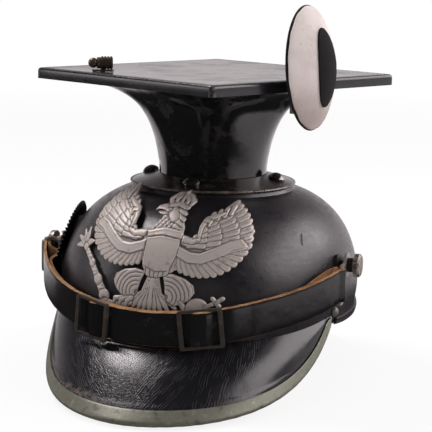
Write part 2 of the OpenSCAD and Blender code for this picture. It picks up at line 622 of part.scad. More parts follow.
tongue_foot = band_z + band_h - 7;
tongue_h = skull_h - crown_room - tongue_foot;
tongue_p = 1.6;
tongue_t = 1;
tongue_fill = 0.84;
tongue_steps = 6;
function tongue_r(phi, u) =
    (skull_r(phi, tongue_foot, -band_in - band_t - 0.7)) * pow(1 - pow(u, tongue_p), 1 / tongue_p);
module lining_tongues() color(leather_tan) for (k = [0:tongues - 1]) let (
        mid = (k + 0.5) * 360 / tongues, half = tongue_fill * 180 / tongues)
    swept([for (i = [0:tongue_steps]) let (u = 0.88 * i / tongue_steps, z = tongue_foot + tongue_h * u,
            w = half * (i < tongue_steps - 1 ? 1 : i < tongue_steps ? 0.92 : 0.6))
        concat(
            [for (j = [-1:1]) let (phi = mid + j * w) at(phi, tongue_r(phi, u), z)],
            [for (j = [1:-1:-1]) let (phi = mid + j * w)
                at(phi, tongue_r(phi, u) - tongue_t * (1 - 0.5 * u), z - tongue_t * u)])]);

// The square top, drawn with one corner to the front and turned as it stands.
module on_top() rotate([0, 0, top_turn]) children();
badge_along = -8;    // the badge stands this far from the edge's middle, towards the front corner
module on_badge_edge() on_top() rotate([0, 0, 45]) translate([badge_along, 0, 0]) children();
half_side = board_side / 2;
neck_foot = collar_top(seat_r) + body_gap;
board_under = board_top - board_t;
sheet_z = board_under + 0.3;
neck_top = sheet_z - seam_gap;
neck_n = 40;
neck_steps = 10;
neck_z0 = 4;
neck_square = 18.9;  // how square the neck's outline becomes under the board

function neck_u(z) = max(z - collar_z - neck_z0, 0) / (neck_top - collar_z - neck_z0);
function neck_ridge(z) = let (u = neck_u(z)) neck_foot_r + neck_flare * pow(u, 1.9) + neck_sweep * pow(u, 8);
function neck_m(z) = 2 + neck_square * pow(neck_u(z), 5.5);
function neck_ring(z, dz, dr) =
    let (m = neck_m(z - dz), h = neck_ridge(z - dz) / pow(2, 0.5 - 1 / m))
    [for (i = [0:neck_n - 1]) let (phi = i * 360 / neck_n)
        at(phi, plan_r(h, h, m, phi + 45) - dr, z)];
neck_levels = [for (i = [0:neck_steps])
    neck_foot + (neck_top - neck_foot) * (1 - pow(1 - i / neck_steps, 1.6))];
module neck() color(leather_gloss) on_top() ring_skin(concat(
    [for (z = neck_levels) neck_ring(z, 0, 0)],
    [for (i = [neck_steps:-1:0]) neck_ring(neck_levels[i], 0.8, neck_t)]));

turn_ring_h = 12;
module turn_ring() color(metal_grey) difference() {
    translate([0, 0, neck_foot + 0.2]) difference() {
        cylinder(r = turn_ring_r, h = turn_ring_h, $fn = 96);
        translate([0, 0, -1]) cylinder(r = spigot_r + run_gap, h = turn_ring_h + 2, $fn = 96);
    }
    for (a = pin_at) rotate([0, 0, a]) translate([spigot_r - 2, 0, slot_z]) rotate([0, 90, 0])
        cylinder(r = pin_r + run_gap, h = turn_wall + 4, $fn = 32);
}
module bayonet_pins() color(metal_dark) for (a = pin_at) rotate([0, 0, a])
    translate([spigot_r - spigot_t - 0.5, 0, slot_z]) rotate([0, 90, 0])
    cylinder(r = pin_r, h = turn_ring_r - spigot_r + spigot_t + 0.3, $fn = 32);

module square_block(half, h, corner) linear_extrude(h) rotate(45) union() {
    square([2 * half, 2 * (half - corner)], center = true);
    square([2 * (half - corner), 2 * half], center = true);
    for (x = [-1, 1], y = [-1, 1]) translate([x * (half - corner), y * (half - corner)])
        circle(r = corner, $fn = 32);
}
module plain_block(half, h) linear_extrude(h) rotate(45) square(2 * half, center = true);
corner_r = 3;
wall = 1.6;
socket_r = 2.6;
core_rib = 0.7;      // of the core, left between the socket and the board's edge
prong_y = half_side - wall - core_rib - socket_r - 2 * seam_gap;
hook_at = [-75.5, -26];
module through_top(r) {
    on_badge_edge() translate([0, -prong_y, board_under - 1]) cylinder(r = r, h = board_t + 2, $fn = 32);
}
module through_hook(r) {
    on_top() translate([hook_at[0], hook_at[1], board_under - 1]) cylinder(r = r, h = board_t + 2, $fn = 32);
}
hook_screw_r = 1.5;
module board_core() color([0.35, 0.27, 0.19]) difference() {
    on_top() translate([0, 0, sheet_z + 1.2 + seam_gap]) plain_block(half_side - wall - seam_gap,
        board_top - board_leather - seam_gap - sheet_z - 1.2 - seam_gap);
    through_top(socket_r + seam_gap);
    through_hook(hook_screw_r + seam_gap);
}
module board_cover() color(leather_black) difference() {
    on_top() difference() {
        union() {
            translate([0, 0, board_under + 1.6]) square_block(half_side, board_t - 3.2, corner_r);
            translate([0, 0, board_under]) square_block(half_side - 0.5, board_t, corner_r - 0.5);
            translate([0, 0, board_under + 0.7]) square_block(half_side - 0.2, board_t - 1.4, corner_r - 0.2);
        }
        translate([0, 0, board_under - 1])
            plain_block(half_side - wall, board_t - board_leather + 1);
        translate([0, 0, board_top - 0.5]) difference() {
            square_block(half_side - 4, 2, corner_r);
            translate([0, 0, -1]) square_block(half_side - 4.9, 4, corner_r - 0.9);
        }
    }
    through_top(socket_r + seam_gap);
    through_hook(hook_screw_r + seam_gap);
}
module board_underside() color(leather_black) difference() {
    on_top() translate([0, 0, sheet_z]) plain_block(half_side - wall - seam_gap, 1.2);
    through_top(socket_r + seam_gap);
    through_hook(hook_screw_r + seam_gap);
}

// Badge socket: a tube through the board, with a flange on its upper face.
socket_down = prong_in + 1;
module badge_socket() color(metal_grey) on_badge_edge() translate([0, -prong_y, 0]) difference() {
    union() {
        translate([0, 0, board_top + 0.8 - socket_down]) cylinder(r = socket_r, h = socket_down, $fn = 32);
        translate([0, 0, board_top + seam_gap]) cylinder(r = 4, h = 0.8 - seam_gap, $fn = 32);
    }
    translate([0, 0, board_top + 0.8 - prong_in - 0.3])
        cylinder(r = prong_r + run_gap, h = prong_in + 2, $fn = 32);
}

// Cap-line hook: a ribbed barrel with a ball end, lying on a saddle plate.
hook_lie = 10;
barrel_r = 4.6;
barrel_z = board_top + seam_gap + 1 + barrel_r;
module hook_plate() color(metal_dark) on_top() translate([hook_at[0], hook_at[1], board_top + seam_gap])
    rotate([0, 0, hook_lie]) difference() {
        translate([-7, -4, 0]) cube([14, 8, 1]);
        translate([0, 0, -1]) cylinder(r = hook_screw_r + seam_gap, h = 3, $fn = 24);
    }
module cap_line_hook() color([0.30, 0.22, 0.16]) on_top() translate([hook_at[0], hook_at[1], 0]) {
    translate([0, 0, board_under - 1.9]) cylinder(r = hook_screw_r, h = barrel_z - board_under, $fn = 24);
    translate([0, 0, barrel_z]) rotate([0, 0, hook_lie]) rotate([0, 90, 0]) {
        for (i = [0:3]) translate([0, 0, -1 + 2 * i]) cylinder(r = barrel_r - seam_gap, h = 1.2, $fn = 40);
        translate([0, 0, -4]) cylinder(r = barrel_r - 0.8, h = 10.5, $fn = 40);
        translate([0, 0, -5]) cylinder(r = 2.4, h = 3, $fn = 32);
        translate([0, 0, -6.5]) sphere(r = 3.4, $fn = 32);
    }
}
module hook_nut() color(metal_dark) on_top() translate([hook_at[0], hook_at[1], board_under - 1.8])
    difference() {
        cylinder(r = 3.4, h = 1.6, $fn = 6);
        translate([0, 0, -1]) cylinder(r = hook_screw_r + run_gap, h = 4, $fn = 24);
    }

// Field badge: a domed oval in three layers, on a wire prong.
badge_out = 94.3;
badge_twist = 8.8;
badge_tilt = 4.5;
badge_n = 28;
function dome_ring(q, a, b, lift) = [for (i = [0:badge_n - 1]) let (t = i * 360 / badge_n,
        x = a * q * cos(t), y = b * q * sin(t))
    [x, y, lift + badge_dome * (1 - pow(x / badge_half_w, 2) - pow(y / badge_half_h, 2))]];
module dome_layer(a, b, lift, t) {
    steps = [1, 0.8, 0.5, 0.2];
    front = [for (q = steps) dome_ring(q, a, b, lift + t)];
    back = [for (q = steps) dome_ring(q, a, b, lift)];
    rings = concat([for (i = [len(steps) - 1:-1:0]) back[i]], front);
    n = badge_n;
    m = len(rings);
    polyhedron(
        points = [for (ring = rings) each ring],
        faces = concat(
            [for (i = [0:m - 2], j = [0:n - 1])
                let (a0 = i * n + j, b0 = i * n + (j + 1) % n, c0 = (i + 1) * n + (j + 1) % n,
                     d0 = (i + 1) * n + j)
                each [[a0, c0, b0], [a0, d0, c0]]],
            [[for (j = [0:n - 1]) j]],
            [[for (j = [n - 1:-1:0]) (m - 1) * n + j]]));
}
module on_badge() on_badge_edge() translate([0, -badge_out, badge_z]) rotate([0, 0, badge_twist])
    rotate([90 - badge_tilt, 0, 0]) children();
back_t = 0.8;
felt_t = 1.2;
oval_half_w = 10;
oval_half_h = 25.5;
centre_t = 0.9;
module badge_back() color(metal_dark) on_badge() dome_layer(badge_half_w, badge_half_h, 0, back_t);
module badge_felt() color(felt_white) on_badge()
    dome_layer(badge_half_w - 0.7, badge_half_h - 0.7, back_t + seam_gap, felt_t);
module badge_centre() color(leather_gloss) on_badge()
    dome_layer(oval_half_w, oval_half_h, back_t + felt_t + 3 * seam_gap, centre_t);
prong_top = board_top + 5;
cross_r = 0.8;
cross_half = 8;      // half-length of the wire across the badge's back
cross_z = badge_dome * (1 - pow(cross_half / badge_half_w, 2)) - cross_r - seam_gap;
cross_y = -(badge_z - prong_top + cross_z * sin(badge_tilt)) / cos(badge_tilt);
module badge_prong() color(metal_grey) union() {
    on_badge_edge() translate([0, -prong_y, 0]) {
        translate([0, 0, board_top + 0.8 - prong_in])
            cylinder(r = prong_r, h = prong_top - board_top - 0.8 + prong_in, $fn = 32);
        translate([0, 0, prong_top]) sphere(r = prong_r, $fn = 32);
        translate([0, 0, prong_top]) rotate([90, 0, 0])
            cylinder(r = prong_r, h = badge_out - prong_y + cross_z * cos(badge_twist), $fn = 32);
    }
    on_badge() translate([-cross_half, cross_y, cross_z]) rotate([0, 90, 0])
        cylinder(r = cross_r, h = 2 * cross_half, $fn = 20);
}

// Chinstrap: plan ellipses about the skull, in levels from the skull outwards.
strap_a = skull_half_w + strap_side;   // half-width of the inner level's middle
strap_b = skull_front + strap_front;   // its reach at the front
level = strap_t + 0.35;
strap_low = 8.7;      // height of the strap's middle line at the front
left_lug = 71.5;      // direction of the left lug's bar, from the front
left_rise = 20;
right_lug = 74;
right_rise = 23;
left_p = 1.5;         // how late the left half climbs to its lug
right_p = 2;
right_bow = 7.4;      // how far the right half bows away from the skull
buckle_at = [16.8, -22];  // directions of the two buckles' middles
hop = 4.7;            // rise of the strap over a buckle's bar
function bow(t) = t > -15 ? 0 : right_bow * pow((-t - 15) / (right_lug - 15), 1.3);
function path(t, out, z) = let (b = bow(t)) [(strap_a + out + b) * sin(t), -(strap_b + out + b) * cos(t), z];
function path_z(t) = strap_low + (t > 0 ? left_rise * pow(t / left_lug, left_p)
    : right_rise * pow(-t / right_lug, right_p));
function ease(v) = let (c = min(max(v, 0), 1)) c * c * (3 - 2 * c);
function over_bar(t, mid) = hop * (1 - ease((abs(t - mid) - 1.2) / 4.2));
function left_level(t) = level * (1 - ease((t - 25) / 9)) + over_bar(t, buckle_at[0]);
function band_section(t, out, down = 0) = let (z = path_z(t) + down, h = strap_w / 2, w = strap_t / 2)
    [path(t, out + w, z - h), path(t, out - w, z - h), path(t, out - w, z + h), path(t, out + w, z + h)];
module band(t0, t1, n, inward) swept([for (i = [0:n]) let (t = t0 + (t1 - t0) * i / n)
    band_section(t, inward)]);

bar_r = 1;
fold_r = bar_r + strap_t;
buckle_out = level + strap_t / 2 + 0.4;  // level on which a buckle's frame lies
bar_out = [0.9, 0.4];                    // and of its bar above that
function lug_bar(side) = let (t = side > 0 ? left_lug : -right_lug) path(t, 0, path_z(t));
// Stands a child across the strap: x along it, y up over its width and z outwards.
function turn_at(t, out) = atan2((strap_b + out + bow(t)) * sin(t), (strap_a + out + bow(t)) * cos(t));
function slope_at(t) = let (d = path(t + 0.5, level, path_z(t + 0.5)) - path(t - 0.5, level, path_z(t - 0.5)))
    atan2(d[2], norm([d[0], d[1]]));
module across(t, out) translate(path(t, out, path_z(t))) rotate([0, 0, turn_at(t, out)])
    rotate([90, 0, 0]) rotate(slope_at(t)) children();
module on_end_bar() across(end_t, buckle_out + bar_out[1]) rotate([-90, 0, 0]) children();
strap_n = 48;
return_n = 16;
return_at = 36;       // direction in which the right half's inner end stops
end_ease = 5;         // angle over which the left half rises to its end bar
return_in = 2;        // the returning end sags in and down from the strap
return_drop = 5;
end_hop = buckle_out + bar_out[1] + fold_r - strap_t / 2 - level;
end_t = buckle_at[1];
module strap_left() color(leather_black) difference() {
    union() {
        swept([for (i = [0:strap_n]) let (t = end_t + (left_lug - 1 - end_t) * i / strap_n)
            band_section(t, left_level(t) + end_hop * ease((end_t + end_ease - t) / (end_ease - 1)))]);
        translate(lug_bar(1) - [0, 0, strap_w / 2]) cylinder(r = fold_r, h = strap_w, $fn = 40);
        on_end_bar() translate([0, 0, -strap_w / 2]) cylinder(r = fold_r, h = strap_w, $fn = 40);
    }
    translate(lug_bar(1) - [0, 0, strap_w]) cylinder(r = bar_r + 0.1, h = 2 * strap_w, $fn = 32);
    on_end_bar() translate([0, 0, -strap_w]) cylinder(r = bar_r + 0.1, h = 2 * strap_w, $fn = 32);
}
module strap_right() color(leather_black) difference() {
    union() {
        swept([for (i = [0:strap_n]) let (t = -right_lug + 1 + (buckle_at[0] - 3 + right_lug - 1) * i / strap_n)
            band_section(t, 0)]);
        swept([for (i = [0:return_n]) let (t = -right_lug + 1 + (right_lug - return_at) * i / return_n)
            let (sag = sin(180 * i / return_n)) band_section(t, -level - return_in * sag, -return_drop * sag)]);
        translate(lug_bar(-1) - [0, 0, strap_w / 2]) cylinder(r = fold_r, h = strap_w, $fn = 40);
    }
    translate(lug_bar(-1) - [0, 0, strap_w]) cylinder(r = bar_r + 0.1, h = 2 * strap_w, $fn = 32);
}

// Buckles: a flat wire frame over the straps, with a bar that a strap's end folds on.
buckle_gap = 0.3;
buckle_rail = 1.8;   // width of the frame above and below the strap
buckle_h = strap_w + 2 * (buckle_gap + buckle_rail);
frame_t = 2;
module buckle(t, bar_out) across(t, buckle_out) {
    linear_extrude(frame_t) difference() {
        soft_rect(buckle_w, buckle_h, 1.5);
        soft_rect(buckle_w - 2 * buckle_wire, strap_w + 2 * buckle_gap, 0.8);
    }
    translate([0, -buckle_h / 2 + 1, bar_out]) rotate([-90, 0, 0])
        cylinder(r = bar_r, h = buckle_h - 2, $fn = 24);
}
module soft_rect(w, h, r) union() {
    square([w, h - 2 * r], center = true);
    square([w - 2 * r, h], center = true);
    for (x = [-1, 1], y = [-1, 1]) translate([x * (w / 2 - r), y * (h / 2 - r)]) circle(r = r, $fn = 16);
}
module buckle_left() color(metal_grey) buckle(buckle_at[0], bar_out[0]);
module buckle_right() color(metal_grey) buckle(buckle_at[1], bar_out[1]);

// Lugs: an eye on the side post, two arms and the bar in the strap's fold.
eye_r = 8.2;
arm_r = 1.3;
module lug(side) {
    bar_mid = lug_bar(side);
    eye = [side * (eye_x + eye_t / 2), -post_fwd, post_z];
    reach = strap_w / 2 + arm_r + 0.3;
    back = unit([eye[0] - bar_mid[0], eye[1] - bar_mid[1], 0]);
    behind = bar_mid + back * (fold_r + arm_r + body_gap);
    knee = [side * min(abs(behind[0]), post_face - post_head_t - eye_t / 2 - body_gap), behind[1], behind[2]];
    difference() {
        union() {
            translate(eye) rotate([0, 90, 0]) cylinder(r = eye_r, h = eye_t, center = true, $fn = 64);
            translate(bar_mid - [0, 0, reach]) cylinder(r = bar_r, h = 2 * reach, $fn = 32);
            for (up = [-1, 1]) {
                lug_arm(bar_mid + [0, 0, up * reach], knee + [0, 0, up * reach]);
                lug_arm(knee + [0, 0, up * reach], eye + [0, -eye_r + arm_r, up * 1.5]);
            }
        }
        translate(eye) rotate([0, 90, 0]) cylinder(r = post_stem_r + run_gap, h = 8, center = true, $fn = 48);
    }
}
module lug_arm(a, b) hull() {
    translate(a) rotate([0, 90, 0]) cylinder(r = arm_r, h = eye_t, center = true, $fn = 16);
    translate(b) rotate([0, 90, 0]) cylinder(r = arm_r, h = eye_t, center = true, $fn = 16);
}
module lug_left() color(metal_grey) lug(1);
module lug_right() color(metal_grey) lug(-1);

skull();
front_peak();
peak_trim();
trim_end_studs();
neck_guard();
collar_plate();
collar_studs();
stud_nuts();
crown_ring();
eagle_plate();
eagle_nuts();
side_post_left();
side_post_right();
post_washers();
post_nuts();
cockade();
sweatband();
lining_tongues();
neck();
turn_ring();
bayonet_pins();
board_core();
board_cover();
board_underside();
badge_socket();
hook_plate();
cap_line_hook();
hook_nut();
badge_back();
badge_felt();
badge_centre();
badge_prong();
strap_left();
strap_right();
buckle_left();
buckle_right();
lug_left();
lug_right();
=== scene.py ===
"""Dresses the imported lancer's cap in leather, lacquer, felt and metal, and sets up a small studio."""

import math

import bpy
import numpy as np
from bpy.props import FloatProperty, FloatVectorProperty, PointerProperty
from mathutils import Matrix, Vector


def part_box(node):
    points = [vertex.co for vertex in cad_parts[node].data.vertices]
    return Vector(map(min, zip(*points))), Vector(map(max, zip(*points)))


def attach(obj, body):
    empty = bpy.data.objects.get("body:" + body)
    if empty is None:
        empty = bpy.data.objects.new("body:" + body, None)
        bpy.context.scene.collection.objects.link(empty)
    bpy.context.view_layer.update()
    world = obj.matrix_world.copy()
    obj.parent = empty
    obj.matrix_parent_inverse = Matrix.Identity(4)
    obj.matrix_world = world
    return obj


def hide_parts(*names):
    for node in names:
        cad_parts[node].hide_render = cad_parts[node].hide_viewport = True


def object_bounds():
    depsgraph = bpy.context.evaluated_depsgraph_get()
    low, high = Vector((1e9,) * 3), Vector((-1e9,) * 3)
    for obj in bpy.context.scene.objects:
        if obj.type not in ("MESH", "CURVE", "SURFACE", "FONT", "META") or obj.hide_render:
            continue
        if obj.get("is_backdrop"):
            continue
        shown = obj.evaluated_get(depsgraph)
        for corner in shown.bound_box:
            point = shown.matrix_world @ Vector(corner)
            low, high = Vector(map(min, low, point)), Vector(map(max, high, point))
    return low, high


bl_info = {
    "name": "Lancer's Cap Looks",
    "version": (1, 0, 0),
    "blender": (4, 5, 0),
    "location": "3D View > Sidebar > Cap",
    "description": "Builds the leather, lacquer, felt and metal of a lancer's cap on its packed frame",
    "category": "Object",
}

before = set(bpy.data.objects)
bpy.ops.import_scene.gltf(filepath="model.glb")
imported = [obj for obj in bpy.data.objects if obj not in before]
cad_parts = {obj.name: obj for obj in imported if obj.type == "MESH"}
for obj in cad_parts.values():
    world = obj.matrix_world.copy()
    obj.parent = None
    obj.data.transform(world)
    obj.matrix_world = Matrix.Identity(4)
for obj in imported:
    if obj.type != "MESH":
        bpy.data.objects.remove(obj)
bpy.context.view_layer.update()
MM = 0.001

# Sizes of the cap, in millimetres and degrees, as its solids have them. The keys p, m and power are the
# exponents of rounded profiles.

SKULL = {"half_w": 102.3, "front": 115.5, "back": 114.0, "h": 84.0, "ring": 57.5, "t": 2.6}
SIDE_P, FRONT_P, BACK_P, RIM_M = 2.9, 3.0, 3.0, 2.2
RIM_TUCK, TUCK_H = 3.8, 26.0
SEAM = 0.15
COLLAR = {"r": 57.9, "z": 88.0, "rise": 5.7, "seat": 38.0, "t": 1.0}
CROWN_HOLE = 30.0
PEAK = {"front": 167.0, "half_w": 98.6, "drop": 40.4, "t": 2.4, "crown": 2.0, "end": 69.0,
        "root_up": 8.0, "end_up": 4.8, "back": 25.5, "tm": 84.2, "power": 1.05}
TRIM_W, TRIM_T, TRIM_END = 10.0, 0.7, 0.985
GUARD = {"back": 132.0, "drop": 40.2, "end": 107.0, "side": 3.2, "root_z": 1.5, "t": 1.6,
         "lip": 1.8, "swell": 0.5, "p": 2.4}
TOP_TURN = 17.24
BOARD = {"side": 175.4, "top": 164.4, "t": 7.4, "leather": 1.4}
NECK = {"foot": 94.0, "foot_r": 37.4, "t": 1.8, "z0": 92.0, "top": 157.15}
BADGE = {"half_w": 26.5, "half_h": 40.5, "dome": 14.0, "z": 172.7, "out": 94.3, "twist": 8.8,
         "tilt": 4.5, "along": -8.0}
STRAP = {"a": 108.5, "b": 121.0, "w": 21.5, "t": 2.2, "low": 8.7, "left": 71.5, "left_rise": 20.0,
         "left_p": 1.5, "right": 74.0, "right_rise": 23.0, "right_p": 2.0, "bow": 7.4, "hop": 4.7,
         "bulge": 7.5, "bulge_at": -66.5, "layer_gap": 0.35, "tail_rise": 3.4, "tail_steps": 15}
BUCKLES = (16.8, -22.0)
BAR_R = 1.0
POST_HEAD = 5.0
BADGE_OVAL = (10.0, 25.5)
COCKADE = {"r": 31.0, "teeth": 60, "tooth": 1.8, "ripple": 1.5, "rings": (13.0, 21.0)}
PLATE = {"u": -0.9, "z": 54.0, "lean": 4.0, "foot": 46.0, "stand": 0.9, "gap": 0.7, "t": 1.3}
LINING = {"z": 2.0, "h": 30.0, "in": 3.0, "t": 1.2, "tongue_h": 49.0, "p": 1.6, "count": 8}

# Places of the crease, the peak's worn strip and the felt's darker lower end, in metres
CREASE_X, CREASE_Z = 0.0785, 0.0601
PEAK_WORN = (0.0560, 0.0615)
FELT_DARKER_LOW = (0.136, 0.178)
# How many millimetres each map covers, and the peak's bundles of fine lines: turn, middle and half-width
PEAK_MAP, STRAP_MAP = (118, 330), (48, 330)
PEAK_LINES = ((-42, -40, 24), (24, 14, 18), (0, 50, 20))
PEAK_LINE_PITCH = 1.9

# The studio's slightly warm light, and its floor's radius and distance under the cap, in metres
STUDIO_TINT = (1.0, 0.935, 0.950)
FLOOR_R, FLOOR_GAP = 9, 0.0002
# The photograph's camera: its angles in degrees, its place in millimetres and its lens in pixels
CAMERA = {"azimuth": 17.80, "elevation": 9.68, "roll": 1.08, "up": 62.3, "aside": 2.615, "back": 1087.35,
          "lens": 1545.46, "picture": 432, "sensor": 36}


def turned(axis, degrees):
    """A turn about one axis."""
    return Matrix.Rotation(math.radians(degrees), 4, axis)


def shifted(x, y, z):
    """A move."""
    return Matrix.Translation((x, y, z))


ON_TOP = turned("Z", TOP_TURN)
ON_EDGE = ON_TOP @ turned("Z", 45) @ shifted(BADGE["along"], 0, 0)
ON_BADGE = (ON_EDGE @ shifted(0, -BADGE["out"], BADGE["z"]) @ turned("Z", BADGE["twist"])
            @ turned("X", 90 - BADGE["tilt"]))


def sin(degrees):
    return math.sin(math.radians(degrees))


def cos(degrees):
    return math.cos(math.radians(degrees))


def clamp(value, low=0.0, high=1.0):
    return min(max(value, low), high)


def ease(value):
    """A smooth step from 0 to 1."""
    c = clamp(value)
    return c * c * (3 - 2 * c)


# Forms of the leather shells

def half_at(reach, p, z, off):
    """Half-width of the skull's profile at a height."""
    full = SKULL["h"] / (1 - (SKULL["ring"] / reach) ** p) ** (1 / p)
    return (reach + off) * (1 - (clamp(z, 0, SKULL["h"] + off) / (full + off)) ** p) ** (1 / p)


def plan_r(a, b, m, phi):
    """Radius of a rounded square or oval in a direction."""
    return 1 / ((abs(sin(phi)) / a) ** m + (abs(cos(phi)) / b) ** m) ** (1 / m)


def skull_r(phi, z, off=0.0):
    """Radius of the skull at a height, in a direction that runs from the front to the wearer's left."""
    m = 2 + (RIM_M - 2) * (1 - clamp(z, 0, SKULL["h"]) / SKULL["h"])
    tuck = RIM_TUCK * max(1 - max(z, 0) / TUCK_H, 0) ** 2
    a = half_at(SKULL["half_w"], SIDE_P, z, off) - tuck
    b = (half_at(SKULL["front"], FRONT_P, z, off) if cos(phi) > 0
         else half_at(SKULL["back"], BACK_P, z, off))
    return plan_r(a, b, m, phi)


def at(phi, r, z):
    """The point at a direction, radius and height."""
    return Vector((r * sin(phi), -r * cos(phi), z))


def front_y(x, z, off):
    """Distance of the skull's front from the centre."""
    m = 2 + (RIM_M - 2) * (1 - clamp(z, 0, SKULL["h"]) / SKULL["h"])
    a = half_at(SKULL["half_w"], SIDE_P, z, off)
    return half_at(SKULL["front"], FRONT_P, z, off) * (1 - min(abs(x) / a, 0.999) ** m) ** (1 / m)


def collar_top(r):
    return COLLAR["z"] + COLLAR["rise"] * (COLLAR["r"] - max(r, COLLAR["seat"])) / (
        COLLAR["r"] - COLLAR["seat"])


def crown_z(r):
    slope = math.atan(COLLAR["rise"] / (COLLAR["r"] - COLLAR["seat"]))
    return collar_top(r) - COLLAR["t"] / math.cos(slope) - SEAM


def waviness(p, size, seed):
    """A slow unevenness from -1 to 1, as hand-shaped leather has."""
    x, y, z = p / size
    return (math.sin(x + 1.7 * y + seed) + math.sin(1.3 * y - 0.9 * z + 2.1 * seed)
            + math.sin(1.1 * z + 0.8 * x + 0.7 * seed)) / 3


def peak_edge(s):
    t = s * PEAK["tm"]
    power = PEAK["power"]
    return Vector((PEAK["half_w"] * math.copysign(abs(sin(t)) ** power, s),
                   -PEAK["back"] - (PEAK["front"] - PEAK["back"]) * cos(t) ** power,
                   -PEAK["drop"] + (PEAK["drop"] + PEAK["end_up"]) * abs(s) ** 4.5))


def peak_root(s):
    phi, z = s * PEAK["end"], PEAK["root_up"] * abs(s) ** 3
    return at(phi, skull_r(phi, z, SEAM), z)


def peak_normal(s):
    along = peak_edge(s + 0.01) - peak_edge(s - 0.01)
    return (peak_edge(s) - peak_root(s)).cross(along).normalized()


def trim_reach(a, b):
    return min(TRIM_W, 0.75 * (b - a).length)


def outside(p):
    """Keeps a point outside the skull's leather."""
    if p.z <= -PEAK["t"]:
        return p
    phi = math.degrees(math.atan2(p.x, -p.y))
    return at(phi, max(math.hypot(p.x, p.y), skull_r(phi, p.z, SEAM)), p.z)


def guard_edge(s):
    phi = s * GUARD["end"]
    fall = max(cos(phi * 1.2), 0) ** GUARD["p"] if abs(phi) < 75 else 0
    out = GUARD["lip"] + (GUARD["back"] - SKULL["back"] - GUARD["lip"]) * fall
    r = skull_r(180 - phi, 0, out)
    return Vector((r * sin(phi), r * cos(phi),
                   -GUARD["drop"] * fall - GUARD["side"] * (1 - abs(s) ** 6)))


def guard_root(s):
    phi, z = s * GUARD["end"], GUARD["root_z"] + 3 * s * s
    r = skull_r(180 - phi, z, SEAM)
    return Vector((r * sin(phi), r * cos(phi), z))


def guard_normal(s):
    along = guard_edge(s + 0.01) - guard_edge(s - 0.01)
    return along.cross(guard_edge(s) - guard_root(s)).normalized()


def neck_ring(z, n):
    """One ring of the neck: round at its foot, square at the board."""
    u = max((z - NECK["z0"]) / 60, 0)
    m = 2 + 12 * u ** 5.5
    h = (NECK["foot_r"] + 20 * u ** 1.9 + 16 * u ** 8) / 2 ** (0.5 - 1 / m)
    return [ON_TOP @ at(i * 360 / n, plan_r(h, h, m, i * 360 / n + 45), z) for i in range(n)]


def bow(t):
    """How far the wearer's right half of the strap stands away from the skull."""
    return 0.0 if t > -15 else STRAP["bow"] * ((-t - 15) / (STRAP["right"] - 15)) ** 1.3


def strap_z(t):
    if t > 0:
        return STRAP["low"] + STRAP["left_rise"] * (t / STRAP["left"]) ** STRAP["left_p"]
    return STRAP["low"] + STRAP["right_rise"] * (-t / STRAP["right"]) ** STRAP["right_p"]


def strap_path(t, out):
    """The strap's middle line at an angle, so far outside its lower layer."""
    away = out + bow(t)
    return Vector(((STRAP["a"] + away) * sin(t), -(STRAP["b"] + away) * cos(t), strap_z(t)))


# Tools for modelling

def pick(piece):
    """Makes one piece the only one selected."""
    bpy.ops.object.select_all(action="DESELECT")
    piece.select_set(True)
    bpy.context.view_layer.objects.active = piece


def edit(piece, *tools):
    """Runs edit-mode tools over a whole piece."""
    pick(piece)
    bpy.ops.object.mode_set(mode="EDIT")
    bpy.ops.mesh.select_all(action="SELECT")
    for tool, settings in tools:
        tool(**settings)
    bpy.ops.object.mode_set(mode="OBJECT")


def shape(piece, kind, **settings):
    """Adds a modifier and applies it."""
    pick(piece)
    modifier = piece.modifiers.new(kind.title(), kind)
    for key, value in settings.items():
        setattr(modifier, key, value)
    bpy.ops.object.modifier_apply(modifier=modifier.name)


def drop_faces(piece, unwanted):
    """Deletes the faces that a test names."""
    for group in (piece.data.vertices, piece.data.edges, piece.data.polygons):
        group.foreach_set("select", [False] * len(group))
    bpy.context.tool_settings.mesh_select_mode = (False, False, True)
    for face in piece.data.polygons:
        face.select = bool(unwanted(face))
    pick(piece)
    bpy.ops.object.mode_set(mode="EDIT")
    bpy.ops.mesh.delete(type="FACE")
    bpy.ops.object.mode_set(mode="OBJECT")


def bevel(piece, width, segments, angle):
    """Rounds the edges that are sharper than an angle."""
    shape(piece, "BEVEL", width=width * MM, segments=segments, limit_method="ANGLE",
          angle_limit=math.radians(angle))


def thicken(piece, thickness, offset=-1, even=False):
    """Gives an open sheet its thickness, inwards unless the offset says otherwise."""
    shape(piece, "SOLIDIFY", thickness=thickness * MM, offset=offset, use_even_offset=even)


def named(name):
    """Names the newest piece and its mesh."""
    piece = bpy.context.object
    piece.name = piece.data.name = name
    return piece


def lay_grid(name, rows):
    """Adds a grid and lays it over rows of points, in millimetres."""
    bpy.ops.object.select_all(action="DESELECT")
    bpy.ops.mesh.primitive_grid_add(x_subdivisions=len(rows[0]) - 1, y_subdivisions=len(rows) - 1, size=1)
    piece = named(name)
    for vertex, point in zip(piece.data.vertices, (p for row in rows for p in row)):
        vertex.co = point * MM
    return piece


def lay_rows(name, rows, wrap=False, ring=False, caps=False, side_of=None, closed=False):
    """Lays a grid over rows and joins it up.

    wrap joins each row's two ends, ring joins the last row to the first, caps closes both ends, and closed
    says that the rows' own ends meet in a point.
    """
    rows = [list(row) + [row[0]] if wrap else list(row) for row in rows]
    if caps:
        ends = [sum(row[:-1], Vector()) / (len(row) - 1) for row in (rows[0], rows[-1])]
        rows = [[ends[0]] * len(rows[0])] + rows + [[ends[1]] * len(rows[0])]
    if ring:
        rows.append(rows[0])
    piece = lay_grid(name, rows)
    if side_of:
        for face in piece.data.polygons:
            face.material_index = side_of(face.index % (len(rows[0]) - 1))
    tools = [(bpy.ops.mesh.remove_doubles, {"threshold": 2e-6})]
    if caps or ring or closed:
        tools.append((bpy.ops.mesh.normals_make_consistent, {"inside": False}))
    edit(piece, *tools)
    return piece


